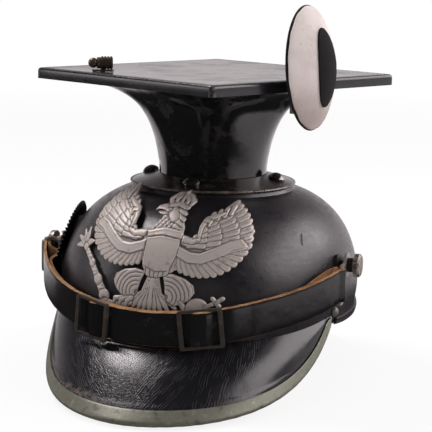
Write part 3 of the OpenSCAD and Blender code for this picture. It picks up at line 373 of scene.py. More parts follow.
def face_out(piece, centre):
    """Turns an open sheet's faces away from a point."""
    centre = Vector(centre) * MM
    lean = sum(f.normal.dot(f.center - centre) * f.area for f in piece.data.polygons)
    if lean < 0:
        edit(piece, (bpy.ops.mesh.flip_normals, {}))


def set_down(piece, body, slot, materials, replaces=(), angle=35):
    """Finishes a piece: smooth shading, materials, the body it rides on and what it stands for."""
    pick(piece)
    bpy.ops.object.shade_smooth_by_angle(angle=math.radians(angle))
    for material in materials:
        piece.data.materials.append(material)
    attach(piece, body)
    if replaces:
        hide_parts(*replaces)
    return piece


def coat_node(node, material):
    """Gives a carried-over solid its material."""
    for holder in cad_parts[node].material_slots:
        holder.material = material


# Shader maths

class Wire:
    """One socket of a material, with Python's operators for its maths."""

    def __init__(self, brush, socket):
        self.brush, self.socket = brush, socket

    def maths(self, operation, other=0.0, flip=False):
        pair = (other, self) if flip else (self, other)
        return self.brush.node("Math", {"operation": operation}, {0: pair[0], 1: pair[1]}).out("Value")

    def __add__(self, other):
        return self.maths("ADD", other)

    def __sub__(self, other):
        return self.maths("SUBTRACT", other)

    def __rsub__(self, other):
        return self.maths("SUBTRACT", other, flip=True)

    def __mul__(self, other):
        return self.maths("MULTIPLY", other)

    __radd__, __rmul__ = __add__, __mul__

    def high(self, other):
        return self.maths("MAXIMUM", other)

    def low(self, other):
        return self.maths("MINIMUM", other)

    def size(self):
        return self.maths("ABSOLUTE")

    def wave(self):
        return self.maths("SINE")

    def step(self, low, high):
        """0 below low, 1 above high, smooth between them."""
        return self.brush.node("MapRange", {"interpolation_type": "SMOOTHSTEP", "clamp": True},
                               {"Value": self, "From Min": low, "From Max": high}).out("Result")


class Node:
    """A node whose outputs are read as wires."""

    def __init__(self, brush, node):
        self.brush, self.made = brush, node

    def out(self, name):
        return Wire(self.brush, next(o for o in self.made.outputs if name in (o.identifier, o.name)))


class Brush:
    """Builds one procedural material."""

    def __init__(self, name):
        self.material = bpy.data.materials.new(name)
        self.material.use_nodes = True
        self.tree = self.material.node_tree
        self.shader = next(n for n in self.tree.nodes if n.type == "BSDF_PRINCIPLED")
        self.spot = self.node("TexCoord").out("Object")

    def feed(self, socket, value):
        if isinstance(value, Wire):
            self.tree.links.new(value.socket, socket)
        elif hasattr(value, "__len__") and len(value) == 3 and socket.type == "RGBA":
            socket.default_value = (*value, 1)
        else:
            socket.default_value = value

    def node(self, kind, settings=None, inputs=None):
        """Adds a node, with its settings and what goes into its sockets."""
        made = self.tree.nodes.new("ShaderNode" + kind)
        for key, value in (settings or {}).items():
            setattr(made, key, value)
        for key, value in (inputs or {}).items():
            socket = made.inputs[key] if isinstance(key, int) else next(
                s for s in made.inputs if key in (s.identifier, s.name))
            self.feed(socket, value)
        return Node(self, made)

    def uv(self, wide, long):
        """The piece's own map, with a point's place in metres."""
        flat = self.node("UVMap").out("UV")
        return self.node("Mapping", {}, {"Vector": flat, "Scale": (wide * MM, long * MM, 1)}).out("Vector")

    def laid(self, vector, scale=(1, 1, 1), turn=(0, 0, 0)):
        """A pattern's coordinates, stretched and turned."""
        turn = tuple(math.radians(a) for a in turn)
        return self.node("Mapping", {}, {"Vector": vector, "Rotation": turn, "Scale": scale}).out("Vector")

    def parts(self, vector):
        made = self.node("SeparateXYZ", {}, {"Vector": vector})
        return made.out("X"), made.out("Y"), made.out("Z")

    def noise(self, size, detail=4.0, rough=0.5, vector=None, bend=0.0):
        """Cloudy noise whose clouds are about size millimetres across."""
        return self.node("TexNoise", {}, {
            "Vector": vector or self.spot, "Scale": 1 / (size * MM), "Detail": detail,
            "Roughness": rough, "Distortion": bend}).out("Fac")

    def cells(self, size, feature="F1", vector=None):
        """Cells about size millimetres across: F1 for pits, DISTANCE_TO_EDGE for cracks."""
        return self.node("TexVoronoi", {"feature": feature}, {
            "Vector": vector or self.spot, "Scale": 1 / (size * MM)}).out("Distance")

    def warped(self, vector, size, by):
        """Coordinates pushed about by noise, by so many millimetres."""
        push = self.node("TexNoise", {}, {
            "Vector": vector, "Scale": 1 / (size * MM), "Detail": 3.0}).out("Color")
        moved = self.node("VectorMath", {"operation": "MULTIPLY_ADD"},
                          {0: push, 1: (2 * by * MM,) * 3, 2: (-by * MM,) * 3}).out("Vector")
        return self.node("VectorMath", {"operation": "ADD"}, {0: vector, 1: moved}).out("Vector")

    def mix(self, share, first, second):
        """The first colour, with a share of the second over it."""
        return self.node("Mix", {"data_type": "RGBA"}, {
            "Factor_Float": share, "A_Color": first, "B_Color": second}).out("Result_Color")

    def bump(self, height, depth, normal=None):
        """Raises the surface by up to depth millimetres."""
        inputs = {"Height": height, "Distance": depth * MM, "Strength": 1.0}
        if normal:
            inputs["Normal"] = normal
        return self.node("Bump", {}, inputs).out("Normal")

    def coats(self, base, *coats):
        """A colour with other colours over it, each by its own share."""
        for share, colour_over in coats:
            base = self.mix(share, base, colour_over)
        return base

    def done(self, **sockets):
        for key, value in sockets.items():
            self.feed(self.shader.inputs[key.replace("_", " ")], value)
        return self.material


def scratches(brush, size, turns, share=0.72):
    """Fine straight scratches in several directions."""
    lines = None
    for turn in turns:
        laid = brush.laid(brush.spot, (1, 14, 14), turn)
        fine = brush.noise(size, 2.0, 0.5, laid).step(share, share + 0.05)
        lines = fine if lines is None else lines.high(fine)
    return lines


# Settings

def colour(name, default, text):
    return FloatVectorProperty(name=name, description=text, default=default, size=3,
                               subtype="COLOR", min=0, max=1)


class CapLeatherSettings(bpy.types.PropertyGroup):
    """Colours and finish of the leathers."""
    skull: colour("Skull", (0.0095, 0.0085, 0.0105), "Colour of the skull's black leather")
    skull_worn: colour("Worn skull", (0.026, 0.023, 0.027), "Colour of the skull's rubbed places")
    peak: colour("Peak", (0.0065, 0.0065, 0.0085), "Colour of the peak's black leather")
    lacquer: colour("Lacquer", (0.005, 0.005, 0.0055), "Colour of the neck's lacquer")
    tan: colour("Tan edge", (0.29, 0.145, 0.06), "Colour of raw leather edges")
    lining: colour("Lining", (0.34, 0.21, 0.12), "Colour of the lining leather")
    skull_roughness: FloatProperty(name="Skull roughness", description="Dullness of the skull's leather",
                                   default=0.30, min=0.05, max=1, subtype="FACTOR")


class CapMetalSettings(bpy.types.PropertyGroup):
    """Colours of the metal and the felt."""
    eagle: colour("Eagle", (0.46, 0.42, 0.385), "Colour of the eagle plate")
    # The eagle's hollows colour is painted shade, laid where the relief is lower than its surroundings
    eagle_hollow_shade: colour("Hollows", (0.085, 0.075, 0.068), "Colour of the dirt in the eagle's hollows")
    trim: colour("Peak trim", (0.145, 0.152, 0.114), "Colour of the peak's trim")
    buckle: colour("Buckles", (0.055, 0.048, 0.04), "Colour of the buckles")
    lug: colour("Lugs and posts", (0.35, 0.30, 0.27), "Colour of the lugs and side posts")
    felt: colour("Felt", (0.745, 0.69, 0.655), "Colour of the badge's felt")
    relief: FloatProperty(name="Eagle relief", description="Height of the eagle's relief",
                          default=0.0017, min=0.0005, max=0.002, unit="LENGTH", subtype="DISTANCE")


class CapStudioSettings(bpy.types.PropertyGroup):
    """Light and floor of the studio."""
    floor: colour("Floor", (0.86, 0.86, 0.86), "Colour of the floor")
    key_power: FloatProperty(name="Key light", description="Power of the light overhead",
                             default=15.0, min=0, subtype="POWER", unit="POWER")
    fill_power: FloatProperty(name="Fill light", description="Power of the wide light at the right",
                              default=22.0, min=0, subtype="POWER", unit="POWER")
    side_power: FloatProperty(name="Side light", description="Power of the light at the left",
                              default=3.0, min=0, subtype="POWER", unit="POWER")
    sky: FloatProperty(name="Sky", description="Strength of the light from all sides",
                       default=0.48, min=0, max=2)


# Materials

def skull_leather(looks):
    """Black leather, rubbed and scratched, with a short crease at the front of the wearer's left side,
    painted dark as the shade in its fold.
    """
    b = Brush("skull leather")
    soft = b.noise(38, 3)
    fine = b.noise(3.2, 6, 0.6)
    rubbed = b.noise(11, 6, 0.7, b.laid(b.spot, (1, 1, 1.8))).step(0.56, 0.72)
    streaks = b.noise(9, 4, 0.6, b.laid(b.spot, (0.5, 0.5, 5))).step(0.40, 0.68)
    marks = scratches(b, 16, ((20, 35, 10), (70, -20, 50), (5, 80, -35)))
    x, y, z = b.parts(b.spot)
    low = z - CREASE_Z
    line = (x - CREASE_X + low * 0.6 - (low * 300).wave() * 0.0009).size()
    # The crease is a real bump; its darker colour is painted shade in the fold
    crease_and_shade = (1 - line.step(0.0, 0.0005)) * (1 - low.size().step(0.0022, 0.0042)) * (1 - y.step(-0.02, 0.0))
    base = b.coats(looks.leather.skull, (soft.step(0.32, 0.7), looks.leather.skull_worn),
                   (rubbed * 0.35, (0.055, 0.050, 0.050)), (marks * 0.25, (0.10, 0.09, 0.085)),
                   (crease_and_shade * 0.7, (0.004, 0.004, 0.004)))
    grain = b.bump(fine * 0.5 + b.cells(0.62) * 0.5, 0.11)
    normal = b.bump(b.noise(17, 2) * 0.5 - crease_and_shade * 0.8, 0.5, grain)
    return b.done(Base_Color=base, Normal=normal, Specular_IOR_Level=0.5,
                  Roughness=looks.leather.skull_roughness + (fine - 0.5) * 0.26 + rubbed * 0.10 + marks * 0.1
                  + streaks * 0.07)


def hatching(brush, flat, turn, pitch):
    """Fine lines side by side, so many millimetres apart, that break off here and there."""
    laid = brush.laid(flat, (1, 1, 1), (0, 0, turn))
    wave = (brush.parts(laid)[1] * (math.pi / (pitch * MM))).wave().size()
    kept = brush.noise(4, 2, 0.5, brush.laid(laid, (0.22, 1, 1))).step(0.47, 0.53)
    return (1 - wave.step(0.10, 0.42)) * kept


def crackled_leather(looks):
    """Black leather: bundles of fine lines, painted lighter as the light their edges catch, a net of cracks
    in the middle, and a worn strip at the trim.
    """
    b = Brush("crackled leather")
    skin = b.uv(*PEAK_MAP)
    bent = b.warped(b.warped(skin, 26, 3.2), 5, 0.5)
    patchy = b.noise(24, 3)
    x = b.parts(b.spot)[0]
    # The lines lean one way at the left, the other way in the middle, and stand upright at the right
    lines = None
    for turn, place, half in PEAK_LINES:
        off = (x - place * MM).size() + (b.noise(13, 3) - 0.5) * 0.03
        here = 1 - off.step(half * 0.6 * MM, half * 1.15 * MM)
        bundle = hatching(b, bent, turn, PEAK_LINE_PITCH) * here
        lines = bundle if lines is None else lines.high(bundle)
    middle = 1 - (x + 0.012).size().step(0.018, 0.040)
    net = 1 - b.cells(2.0, "DISTANCE_TO_EDGE", bent).step(0.0, 0.08)
    net = net * (patchy.step(0.50, 0.62) * 0.4).high(middle)
    fine = b.noise(1.6, 6, 0.6)
    from_skull = b.parts(skin)[0]
    worn = b.noise(3.2, 6, 0.75).step(0.43, 0.58) * from_skull.step(*PEAK_WORN) * (0 - x).step(-0.01, 0.05)
    marks = scratches(b, 14, ((60, 15, 20), (20, 70, 60), (80, 40, -30)), 0.74)
    # The lines' lighter colour is a painted highlight: the light that their raised edges catch
    base = b.coats(looks.leather.peak, (patchy.step(0.35, 0.7), (0.010, 0.0098, 0.0125)),
                   (lines * 0.28, (0.105, 0.10, 0.112)), (worn * 0.8, (0.13, 0.10, 0.08)),
                   (marks * 0.15, (0.12, 0.11, 0.11)))
    normal = b.bump(fine * 0.3 + lines * 0.35 - net * 0.5, 0.055, b.bump(b.noise(13, 2), 0.14))
    return b.done(Base_Color=base, Normal=normal, Specular_IOR_Level=0.55,
                  Roughness=0.235 + (fine - 0.5) * 0.12 + lines * 0.12 + worn * 0.3)


def lacquer(looks):
    """Glossy black lacquer over slightly uneven leather, smudged and dusty in places."""
    b = Brush("lacquer")
    smudge = b.noise(20, 5, 0.6, bend=0.6).step(0.52, 0.60)
    dust = b.noise(1.1, 2).step(0.68, 0.74)
    marks = scratches(b, 18, ((10, 20, 15), (60, 50, -20)), 0.71)
    base = b.coats(looks.leather.lacquer, (smudge * 0.6, (0.020, 0.019, 0.019)),
                   (dust * 0.35 + marks * 0.15, (0.10, 0.095, 0.09)))
    normal = b.bump(b.noise(22, 3, 0.45), 0.8, b.bump(b.noise(2.6, 4), 0.012))
    return b.done(Base_Color=base, Normal=normal, Specular_IOR_Level=0.42, Coat_Weight=0.36,
                  Coat_Roughness=0.03, Roughness=0.09 + smudge * 0.24 + dust * 0.2 + marks * 0.12)


def board_leather():
    """Dull black leather, painted darker and bluer at the sides as shade with a cool reflection, and worn
    along the edge and at the corners.
    """
    b = Brush("board leather")
    x, y = b.parts(b.laid(b.spot, (1, 1, 1), (0, 0, -(TOP_TURN + 45))))[:2]
    rim, corner = x.size().high(y.size()), x.size() + y.size()
    half = BOARD["side"] / 2 * MM
    patchy = b.noise(5, 6, 0.7)
    edge = rim.step(half - 0.0030, half - 0.0014) * (1 - rim.step(half - 0.0008, half - 0.0003))
    worn = (edge * patchy.step(0.50, 0.66) * 0.35).high(
        corner.step(2 * half - 0.0045, 2 * half - 0.0020) * patchy.step(0.46, 0.60) * 0.8)
    fine = b.noise(2.2, 6, 0.6)
    marks = scratches(b, 20, ((0, 0, 20), (0, 0, 75), (0, 0, -50)), 0.70)
    base = b.coats((0.020, 0.018, 0.018), (b.noise(30, 4).step(0.3, 0.7), (0.038, 0.034, 0.032)),
                   # The sides' blue-black is painted shade with a cool reflection
                   (rim.step(half - 0.0012, half - 0.0005), (0.0065, 0.007, 0.0095)),
                   (marks * 0.35, (0.12, 0.11, 0.10)), (worn * 0.85, (0.10, 0.095, 0.08)))
    normal = b.bump(fine * 0.5 + b.cells(0.7) * 0.5, 0.02, b.bump(b.noise(34, 2), 0.25))
    return b.done(Base_Color=base, Normal=normal, Specular_IOR_Level=0.55,
                  Roughness=0.21 + (fine - 0.5) * 0.10 + worn * 0.3 + b.noise(26, 3).step(0.45, 0.7) * 0.05)


def strap_leather():
    """Black leather with fine wrinkles across the strap."""
    b = Brush("strap leather")
    fine = b.noise(2.0, 6, 0.65)
    wrinkles = b.noise(2.2, 4, 0.6, b.laid(b.uv(*STRAP_MAP), (1, 0.22, 1)))
    worn = b.noise(12, 5, 0.7).step(0.55, 0.72)
    marks = scratches(b, 12, ((30, 10, 5), (10, 60, 40)), 0.71)
    base = b.coats((0.0075, 0.0073, 0.0078), (worn * 0.4, (0.030, 0.028, 0.028)),
                   (marks * 0.3, (0.11, 0.10, 0.09)))
    normal = b.bump(fine * 0.3 + wrinkles * 0.7, 0.035, b.bump(b.noise(12, 2), 0.25))
    return b.done(Base_Color=base, Normal=normal, Specular_IOR_Level=0.5,
                  Roughness=0.20 + (fine - 0.5) * 0.10 + worn * 0.10)


def raw_leather(looks):
    """Tan cut leather with dark specks."""
    b = Brush("raw leather")
    fine, soft = b.noise(0.9, 6, 0.75), b.noise(9, 4)
    base = b.coats(looks.leather.tan, (fine.step(0.35, 0.7), (0.50, 0.30, 0.15)),
                   (soft.step(0.45, 0.72) * 0.7, (0.15, 0.085, 0.045)),
                   ((1 - fine).step(0.50, 0.62) * 0.6, (0.07, 0.035, 0.018)))
    return b.done(Base_Color=base, Normal=b.bump(fine, 0.35), Roughness=0.82 + (soft - 0.5) * 0.1,
                  Specular_IOR_Level=0.25)


def suede():
    """Brown flesh side of the strap's leather."""
    b = Brush("suede")
    fine = b.noise(1.1, 6, 0.75)
    base = b.coats((0.25, 0.105, 0.033), (b.noise(11, 5, 0.7).step(0.38, 0.66), (0.060, 0.027, 0.012)),
                   (fine.step(0.5, 0.8) * 0.3, (0.33, 0.16, 0.065)))
    return b.done(Base_Color=base, Normal=b.bump(fine, 0.3), Roughness=0.85, Specular_IOR_Level=0.2,
                  Sheen_Weight=0.1)


def lining_leather(looks):
    """Thin tan leather, stained in places."""
    b = Brush("lining leather")
    fine = b.noise(2.4, 6, 0.6)
    base = b.coats(looks.leather.lining, (b.noise(24, 4, 0.6).step(0.45, 0.7) * 0.7, (0.17, 0.10, 0.06)),
                   (fine.step(0.5, 0.75) * 0.3, (0.45, 0.31, 0.20)))
    normal = b.bump(fine * 0.6 + b.cells(0.8) * 0.4, 0.12, b.bump(b.noise(15, 2), 0.6))
    return b.done(Base_Color=base, Normal=normal, Roughness=0.55 + (fine - 0.5) * 0.2)


def felt(looks):
    """Pale felt, darker towards its lower end."""
    b = Brush("felt")
    fluff = b.noise(0.8, 6, 0.8)
    tufts = b.noise(0.55, 4, 0.7, b.laid(b.spot, (1, 1, 0.3), (25, 15, 40)))
    grime = b.noise(19, 5, 0.6)
    low = 1 - (b.parts(b.spot)[2] + (grime - 0.5) * 0.03).step(*FELT_DARKER_LOW)
    base = b.coats(looks.metal.felt, (grime.step(0.42, 0.72) * 0.45, (0.50, 0.42, 0.385)),
                   (low * 0.9, (0.29, 0.235, 0.215)), (fluff.step(0.50, 0.75) * 0.40, (0.46, 0.40, 0.37)),
                   (b.noise(2.1, 1).step(0.735, 0.76) * 0.5, (0.16, 0.12, 0.10)))
    return b.done(Base_Color=base, Normal=b.bump(fluff * 0.6 + tufts * 0.6, 0.6), Roughness=0.95,
                  Specular_IOR_Level=0.15, Sheen_Weight=0.25, Sheen_Roughness=0.6)


def black_cloth():
    """Dull black cloth with a little lint."""
    b = Brush("black cloth")
    fluff = b.noise(0.7, 6, 0.8)
    base = b.mix(fluff.step(0.45, 0.75), (0.006, 0.006, 0.0065), (0.022, 0.020, 0.021))
    return b.done(Base_Color=base, Normal=b.bump(fluff, 0.5), Roughness=0.93, Specular_IOR_Level=0.2,
                  Sheen_Weight=0.04, Sheen_Roughness=0.5)


def metal(name, base, rubbed, metallic, roughness, grime=(0.03, 0.025, 0.02), size=8.0, depth=0.06,
          grimy=0.5, hollow_shade=None):
    """A dull or worn metal, with rubbed and grimy patches, and with painted shade where a mesh marks its
    hollows.
    """
    b = Brush(name)
    patches, fine = b.noise(size, 5, 0.65), b.noise(0.9, 5, 0.7)
    shade = b.coats(base, (patches.step(0.55, 0.72) * 0.7, rubbed),
                    ((1 - patches).step(0.55, 0.7) * grimy, grime), (fine.step(0.55, 0.8) * 0.25, rubbed))
    if hollow_shade:
        # Painted shade in the hollows that the mesh marks
        pit = b.node("Attribute", {"attribute_name": "hollow_shade"}).out("Fac")
        shade = b.mix(pit.step(0.05, 0.75) * 0.85, shade, hollow_shade)
    return b.done(Base_Color=shade, Metallic=metallic, Normal=b.bump(fine * 0.7 + patches * 0.3, depth),
                  Roughness=roughness + (patches - 0.5) * 0.18 + (fine - 0.5) * 0.12)


def collar_metal():
    """Blackened plate, rubbed bright on the bead at its rim with a painted highlight all round it, and brown
    round the neck's foot.
    """
    b = Brush("worn black plate")
    x, y = b.parts(b.spot)[:2]
    r = (x * x + y * y).maths("SQRT") * (1 / MM)
    patches, fine = b.noise(8, 5, 0.65), b.noise(1.0, 5, 0.7)
    foot = (1 - (r - NECK["foot_r"]).size().step(1.0, 5.0)) * fine.step(0.42, 0.62)
    # The rim's bright ring is partly wear and partly a painted highlight, lightened all the way round
    rim = r.step(COLLAR["r"] - 1.3, COLLAR["r"] - 0.4) * (0.35 + patches.step(0.40, 0.62) * 0.65)
    base = b.coats((0.013, 0.012, 0.0115), (patches.step(0.50, 0.68) * 0.8, (0.060, 0.044, 0.033)),
                   (foot * 0.5, (0.12, 0.090, 0.065)), (rim * 0.8, (0.24, 0.20, 0.17)))
    return b.done(Base_Color=base, Metallic=0.35, Normal=b.bump(fine * 0.6 + patches * 0.4, 0.07),
                  Roughness=0.25 + (patches - 0.5) * 0.16 + (fine - 0.5) * 0.10 + foot * 0.15)


def post_metal(looks, stem):
    """Worn grey head on a dark stem, which ends so many metres from the cap's middle."""
    b = Brush("side posts")
    head = b.parts(b.spot)[0].size().step(stem - 0.0004, stem + 0.0004)
    patches, fine = b.noise(3.2, 5, 0.7), b.noise(0.8, 5, 0.7)
    grey = b.mix(patches.step(0.42, 0.62), (0.10, 0.080, 0.066), looks.metal.lug)
    return b.done(Base_Color=b.mix(head, (0.030, 0.024, 0.020), grey), Metallic=0.45,
                  Normal=b.bump(fine * 0.6 + patches * 0.4, 0.10), Roughness=0.36 + (patches - 0.5) * 0.2)


def pressed_board():
    """Brown layered board."""
    b = Brush("pressed board")
    fine = b.noise(1.2, 6, 0.7, b.laid(b.spot, (1, 1, 6)))
    return b.done(Base_Color=b.mix(fine, (0.17, 0.11, 0.065), (0.30, 0.21, 0.13)), Roughness=0.85,
                  Normal=b.bump(fine, 0.2))


# The eagle plate, as a relief over a flat sheet that is then laid round the skull

WING_EDGE = [(54.5, 18.3), (56, 10.5), (54, 4), (50.3, -1.5), (45.3, -6), (39.5, -9), (33, -10.5),
             (26, -10.7), (19.5, -9.8), (13.5, -8)]
WING_CORE = [(8, 14), (16, 13.2), (20, 12), (22.3, 13), (21.5, 20), (22.5, 24), (27, 26.4), (34, 29),
             (38, 31), (44, 27), (49, 22), (51, 16), (50, 8), (45, -1), (36, -6), (26, -7.5), (14, -5),
             (8, -5)]
BODY = [(-11.2, 13), (-7, 17.5), (-5, 20.5), (-4.7, 22.5), (-4.5, 27.5), (-6, 29.3), (8.5, 28), (8.8, 24.5),
        (10.1, 21.5), (12.5, 17.5), (13.3, 12), (13, 1.5), (12.4, -8.6), (7, -12), (1, -14), (-5.5, -13.3),
        (-9.5, -6.4), (-12.5, 8.4)]
CROWN = [(-2.2, 28), (-5.6, 30.6), (-5.2, 32.6), (-1.8, 34.2), (3, 35.6), (7.6, 34.0), (12.0, 32.3),
         (11.4, 29.8), (9.5, 27), (3, 27.5)]
CROWN_ARCHES = (
    [(-2.4, 29.4), (-4.9, 31.2), (-2.2, 33.4), (2.8, 34.0)],
    [(9.4, 28.8), (11.2, 31.0), (7.8, 33.2), (3.6, 34.0)], [(0.2, 29.8), (-0.9, 32.0), (2.8, 34.0)],
    [(6.6, 29.6), (7.4, 31.8), (3.8, 34.0)], [(3.4, 30), (3.3, 34.0)])
LEG = [(6, -11), (13, -10), (21, -12), (26.5, -15.5), (28, -20), (25.5, -24.5), (21, -28), (14, -30.3),
       (9.8, -26), (8.5, -18)]
TAIL_TIPS = [(-16, -34), (17, -32.6), (-11.5, -35.2), (12.5, -34.6), (-7.8, -36), (8, -35.8), (-4, -36.2),
             (4, -36.2), (0, -36.6)]
BANNER = [(10, 8.5), (15, 6), (21, 4), (27, 4), (34.5, 8), (43, 13), (49, 14), (54, 9.5), (46, 7.5),
          (37.5, 2), (29, -2), (20, -2.2), (10, 2)]
ARCH = [(-11, 13), (0, 16.5), (12.5, 15.8), (13, 11), (0, 12), (-10, 9.5)]
SHIELD = [(-10, 9.5), (0, 12), (12.6, 11), (12.4, 2), (9, -8.5), (0, -10), (-9, -7)]
ORB = (30.6, -30.6, 7.5)
ORB_CROSS = ([(35.5, -28.4), (41.5, -24.8)], [(39.2, -22.4), (43.6, -27)], [(41.5, -24.8), (45.2, -22.2)])
SCEPTRE_LEAVES = ((-66, -7.6), (-66, -2.2), (-62, 2.6), (-57.4, 5.2), (-51, -1.2))
# Rows of feathers: their tips, their roots, how many, and the half-width, height and dome of each
WING_FEATHERS = (
    (WING_EDGE[::-1], [(12, 0), (18, -1), (25, 0), (31, 3), (37, 7), (42, 12), (43, 15)],
     15, 2.35, 0.22, 0.26),
    ([(54.2, 16.8), (53, 20.5), (50.2, 25.4), (46.4, 28.6), (42.6, 31.2), (38.6, 33.6)],
     [(30, 8), (29, 12), (29, 16), (29.5, 20), (31, 24), (33, 27)], 7, 2.5, 0.26, 0.26),
    ([(47.5, 15.0), (46.5, 19), (43.5, 23), (39.5, 26.5), (35.5, 29)],
     [(20, 8), (22, 11), (24, 14), (26, 18), (28, 23)], 6, 2.3, 0.36, 0.28),
    ([(38.0, 11.5), (37.5, 15.5), (35, 19.5), (31.5, 23.5)],
     [(18, 8), (20, 11), (22.5, 14), (24.5, 19)], 5, 2.1, 0.46, 0.28),
    ([(29.5, 8.5), (29.5, 12), (28.5, 15.5), (27.2, 19)],
     [(15, 9), (17, 10), (21, 13), (23, 16)], 4, 1.9, 0.54, 0.28))


def within(outline, u, v):
    """Distance inside an outline, and below 0 outside it."""
    near = np.full(u.shape, 1e9)
    odd = np.zeros(u.shape, bool)
    for (ax, ay), (bx, by) in zip(outline, outline[1:] + outline[:1]):
        dx, dy = bx - ax, by - ay
        t = np.clip(((u - ax) * dx + (v - ay) * dy) / (dx * dx + dy * dy), 0, 1)
        near = np.minimum(near, np.hypot(u - ax - t * dx, v - ay - t * dy))
        if ay != by:
            odd ^= ((ay > v) != (by > v)) & (u < ax + (v - ay) * dx / dy)
    return np.where(odd, near, -near)


def spaced(points, count):
    """Points evenly spaced along a line."""
    line = np.array(points, float)
    walked = np.concatenate([[0], np.cumsum(np.hypot(*np.diff(line, axis=0).T))])
    place = np.linspace(0, walked[-1], count)
    return np.column_stack([np.interp(place, walked, line[:, 0]), np.interp(place, walked, line[:, 1])])


class Relief:
    """A flat sheet of heights on which forms are laid one over another, as a die sinker cuts them."""

    def __init__(self, u, v):
        self.u, self.a, self.v = u, np.abs(u), v
        self.inside, self.high = np.full(u.shape, -9.0), np.zeros(u.shape)

    def lay(self, deep, high, add=True):
        """Lays one form. The ground beside it sinks a little, so that its edge reads."""
        self.high = np.where(deep > 0, high * (0.72 + 0.28 * np.clip(deep / 0.4, 0, 1)), self.high)
        self.high = np.where((deep <= 0) & (deep > -0.5), self.high * 0.80, self.high)
        if add:
            self.inside = np.maximum(self.inside, deep)

    def stroke(self, points, radii, base, dome, rib=0.0, barbs=0.0, twist=0.0, both=True, clip=None):
        """Lays a round-ended stroke, such as a feather with its rib and barbs, or a fold."""
        u, v = (self.a if both else self.u), self.v
        best = np.full(u.shape, -1e9)
        place, cross, width = np.zeros(u.shape), np.zeros(u.shape), np.ones(u.shape)
        walked = 0.0
        for (ax, ay), (bx, by), ra, rb in zip(points, points[1:], radii, radii[1:]):
            dx, dy = bx - ax, by - ay
            length = math.hypot(dx, dy)
            t = np.clip(((u - ax) * dx + (v - ay) * dy) / length ** 2, 0, 1)
            r = ra + (rb - ra) * t
            far = np.hypot(u - ax - t * dx, v - ay - t * dy)
            closer = r - far > best
            best = np.where(closer, r - far, best)
            place = np.where(closer, walked + t * length, place)
            cross = np.where(closer, ((u - ax) * dy - (v - ay) * dx) / length, cross)
            width = np.where(closer, r, width)
            walked += length
        round_top = np.sqrt(np.clip(1 - ((width - best) / width) ** 2, 0, 1))
        high = base + dome * round_top - rib * np.exp(-(cross / 0.28) ** 2)
        high = high + barbs * np.sin((place + 1.1 * np.abs(cross)) * 5.2) * np.clip(best / 0.6, 0, 1)
        high = high + twist * np.sin(place * 2.6 + cross * 1.3)
        if clip is not None:
            best = np.minimum(best, clip)
        self.lay(best, high, clip is None)

    def alone(self, points, radii, base, dome, **detail):
        """Lays a stroke on one side only."""
        self.stroke(points, radii, base, dome, both=False, **detail)

    def ball(self, x, y, r, base, dome):
        far = np.hypot(self.u - x, self.v - y)
        self.lay(r - far, base + dome * np.sqrt(np.clip(1 - (far / r) ** 2, 0, 1)))

    def ribbon(self, outline, level, both):
        """A bare ribbon or shield with a fine raised rim."""
        deep = within(outline, self.a if both else self.u, self.v)
        rim = np.exp(-((deep - 0.85) / 0.32) ** 2)
        self.lay(deep, level - 0.13 + 0.15 * rim + 0.04 * np.clip(deep / 4, 0, 1))


def feather_row(sheet, tips, roots, count, r, base, dome):
    """Lays a row of feathers from roots to tips, each over the last."""
    for tip, root in zip(spaced(tips, count), spaced(roots, count)):
        way = tip - root
        end = tip - way / np.hypot(*way) * r
        sheet.stroke([root, (root + end) / 2, end], [r * 0.75, r, r * 0.92], base, dome,
                     rib=0.13, barbs=0.035)


def lay_wings(sheet):
    """Long feathers below the ribbon and above it, rows over their roots, and the wings' arms."""
    sheet.lay(within(WING_CORE, sheet.a, sheet.v), 0.12)
    for row in WING_FEATHERS:
        feather_row(sheet, *row)
    for x, y in ((37.6, 31.6), (34.2, 30.0), (30.9, 28.4), (27.6, 26.8)):
        sheet.stroke([(x - 0.5, y - 4.0), (x - 0.4, y - 0.8)], [1.5, 1.6], 0.5, 0.32, rib=0.12)
    sheet.stroke([(23.6, 13.2), (23.0, 19), (24.4, 23), (29, 25.3), (33.2, 27.3)],
                 [1.1, 1.5, 1.8, 1.5, 1.0], 0.60, 0.34)
    sheet.stroke([(24.4, 23), (27.4, 22.4), (27.2, 20)], [1.4, 1.1, 0.7], 0.66, 0.30)
    sheet.stroke([(9, 11.6), (15, 11.2), (20, 10.2), (24, 11.8)], [2.4, 2.0, 1.6, 1.2], 0.55, 0.32,
                 twist=0.03)


def lay_tail_and_legs(sheet):
    """Tail feathers that spread like leaves, the middle one on top, and thighs with rolled folds."""
    for k, (x, y) in enumerate(TAIL_TIPS):
        sheet.alone([(x * 0.16, -13 + 0.2 * k), (x * 0.36, -24), (x * 0.78, y + 5), (x, y + 1.2)],
                    [1.2, 1.5, 2.0, 1.1], 0.24 + 0.03 * k, 0.34, rib=0.12)
    leg = within(LEG, sheet.a, sheet.v)
    sheet.lay(leg, 0.3)
    for far in (16.2, 13.6, 11.0, 8.4, 5.8, 3.2):
        arc = [(10 + far * cos(w), -24.5 + far * sin(w)) for w in range(112, -50, -18)]
        sheet.stroke(arc, [1.5] * len(arc), 0.36 + 0.02 * (16 - far), 0.34, rib=0.08, clip=leg)


